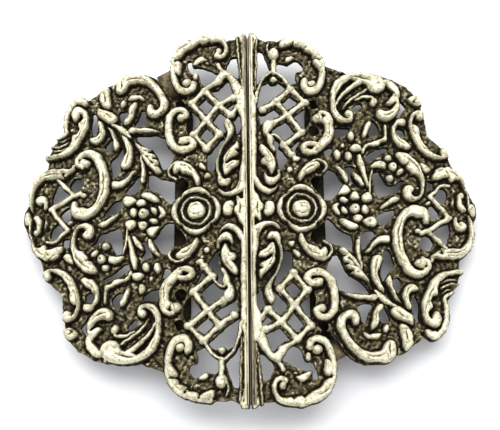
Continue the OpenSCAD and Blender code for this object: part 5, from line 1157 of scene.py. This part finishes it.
RIB_TONES = [(0.0, (0.012, 0.010, 0.006)), (0.3, (0.10, 0.085, 0.05)), (0.62, (0.42, 0.37, 0.23)),
             (0.95, (0.74, 0.68, 0.49))]
rubbed_silver = Finish("rubbed_silver")
spot = rubbed_silver.add("ShaderNodeTexCoord", output="Object")
drawn_out = rubbed_silver.add("ShaderNodeMapping", sockets={"Vector": spot, "Scale": (1, 0.08, 1)},
                              output="Vector")
streak = rubbed_silver.add("ShaderNodeTexNoise", output="Fac", sockets={
    "Vector": drawn_out, "Scale": 1.6 / MM, "Detail": 4})
wear = rubbed_silver.add("ShaderNodeAttribute", {"attribute_name": "wear"}, output="Fac")
brightness = wear * 0.8 + (streak - 0.5) * 1.6
tone = rubbed_silver.ramp(RIB_TONES, brightness)
shine = brightness.between(0.3, 0.9)
rubbed_silver.surface(Base_Color=tone, Metallic=0.5 * shine, Roughness=0.85 - 0.4 * shine,
                      Specular_IOR_Level=0.25)

# The ribs are bright from this height up. The left half's are duller towards their upper end and the right
# half's towards their lower one, from this far from the middle on.
BRIGHT_FROM, DULL_FROM, DULL_FADE = 1.7, 16, 12  # mm
for side, name in ((-1, "left_seam_ribs"), (1, "right_seam_ribs")):
    spine = [(0, -RIB_LENGTH / 2 * side, 0), (0, RIB_LENGTH / 2 * side, 0)]
    profile = [(RIB_GAP + x, z) for x, z in RIB_PROFILE]
    ribs = swept(name, spine, profile, rubbed_silver.material, RIB_SPACING)
    mesh = ribs.data
    spots = np.zeros(len(mesh.vertices) * 3)
    mesh.vertices.foreach_get("co", spots)
    spots = spots.reshape(-1, 3) / MM
    dulled = np.clip((-side * spots[:, 1] - DULL_FROM) / DULL_FADE, 0, 1)
    bright = np.clip((spots[:, 2] - BRIGHT_FROM) * 3, 0, 1) * (1 - 0.5 * dulled)
    stored = mesh.attributes.new("wear", "FLOAT", "POINT")
    stored.data.foreach_set("value", bright.astype(np.float32))
    sloped = Matrix.Rotation(side * math.radians(SLOPE), 4, "Y")
    mesh.transform(Matrix.Translation((0, 0, SEAM_Z * MM)) @ sloped)
    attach(ribs, "root")

# Belt bars
# Behind each half runs a flat bar for the belt, bent up at both ends to feet that are soldered
# to the casting's back. Its colour is a dull tarnished brown, painted darker still as painted shade
# for the casting's shadow over it.
BAR_SPACING = 0.8  # mm from one section of the sweep to the next
# The left bar's middle line, from its upper foot to its lower one, mm.
BAR_SPINE = [
    (-18.6, 33.0, 5.1), (-17.6, 31.2, 5.2), (-16.6, 29.4, 5.0), (-15.7, 27.8, 3.9),
    (-15.1, 26.6, 1.8), (-14.7, 25.7, 0.7), (-14.4, 24.3, 0.47), (-14.4, 10, 0.46), (-14.4, -10, 0.46),
    (-14.4, -24.5, 0.47), (-14.7, -26.2, 0.65), (-15.6, -27.2, 1.4), (-17.0, -28.8, 3.2),
    (-18.2, -30.4, 4.85), (-18.8, -31.4, 5.15)]
# A flat section, 3.8 by 0.9 mm, with its corners taken off.
BAR_SECTION = [
    (-1.7, -0.45), (1.7, -0.45), (1.86, -0.38), (1.9, -0.2), (1.9, 0.2), (1.86, 0.38),
    (1.7, 0.45), (-1.7, 0.45), (-1.86, 0.38), (-1.9, 0.2), (-1.9, -0.2), (-1.86, -0.38)]

# Browns of tarnish, darkened as painted shade for the shadow that the casting casts on the bar.
BROWNS_WITH_PAINTED_SHADE = [(0.3, (0.008, 0.007, 0.004)), (0.55, (0.028, 0.022, 0.011)), (0.75, (0.16, 0.12, 0.065))]
dull = Finish("dull_metal")
patina = noise(dull, 0.5, 5)
speck = noise(dull, 3.0, 3)
spot = dull.add("ShaderNodeTexCoord", output="Object")
height = dull.add("ShaderNodeSeparateXYZ", sockets={"Vector": spot}, output="Z") * (1 / MM)
# The brown is painted a little lighter up the feet, from 3.5 to 5 mm over the table.
brown = dull.ramp(BROWNS_WITH_PAINTED_SHADE, patina * 0.7 + speck * 0.3 + height.between(3.5, 5) * 0.16)
pits = dull.add("ShaderNodeBump", output="Normal", sockets={
    "Height": speck, "Strength": 0.2, "Distance": 0.1 * MM})
dull.surface(Base_Color=brown, Metallic=0.8, Roughness=0.42 + 0.2 * speck, Normal=pits)

# The right bar is the left one turned half round, and its lower foot is a little shorter.
for side, name, line in ((1, "left_belt_bar", BAR_SPINE), (-1, "right_belt_bar", BAR_SPINE[1:])):
    spine = [(x * side, y * side, z) for x, y, z in line]
    bar = swept(name, spine, BAR_SECTION, dull.material, BAR_SPACING)
    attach(bar, "root")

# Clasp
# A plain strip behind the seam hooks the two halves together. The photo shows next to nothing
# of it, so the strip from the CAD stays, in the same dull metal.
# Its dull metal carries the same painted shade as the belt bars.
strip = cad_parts["clasp_hook"]
strip.data.materials.clear()
strip.data.materials.append(dull.material)
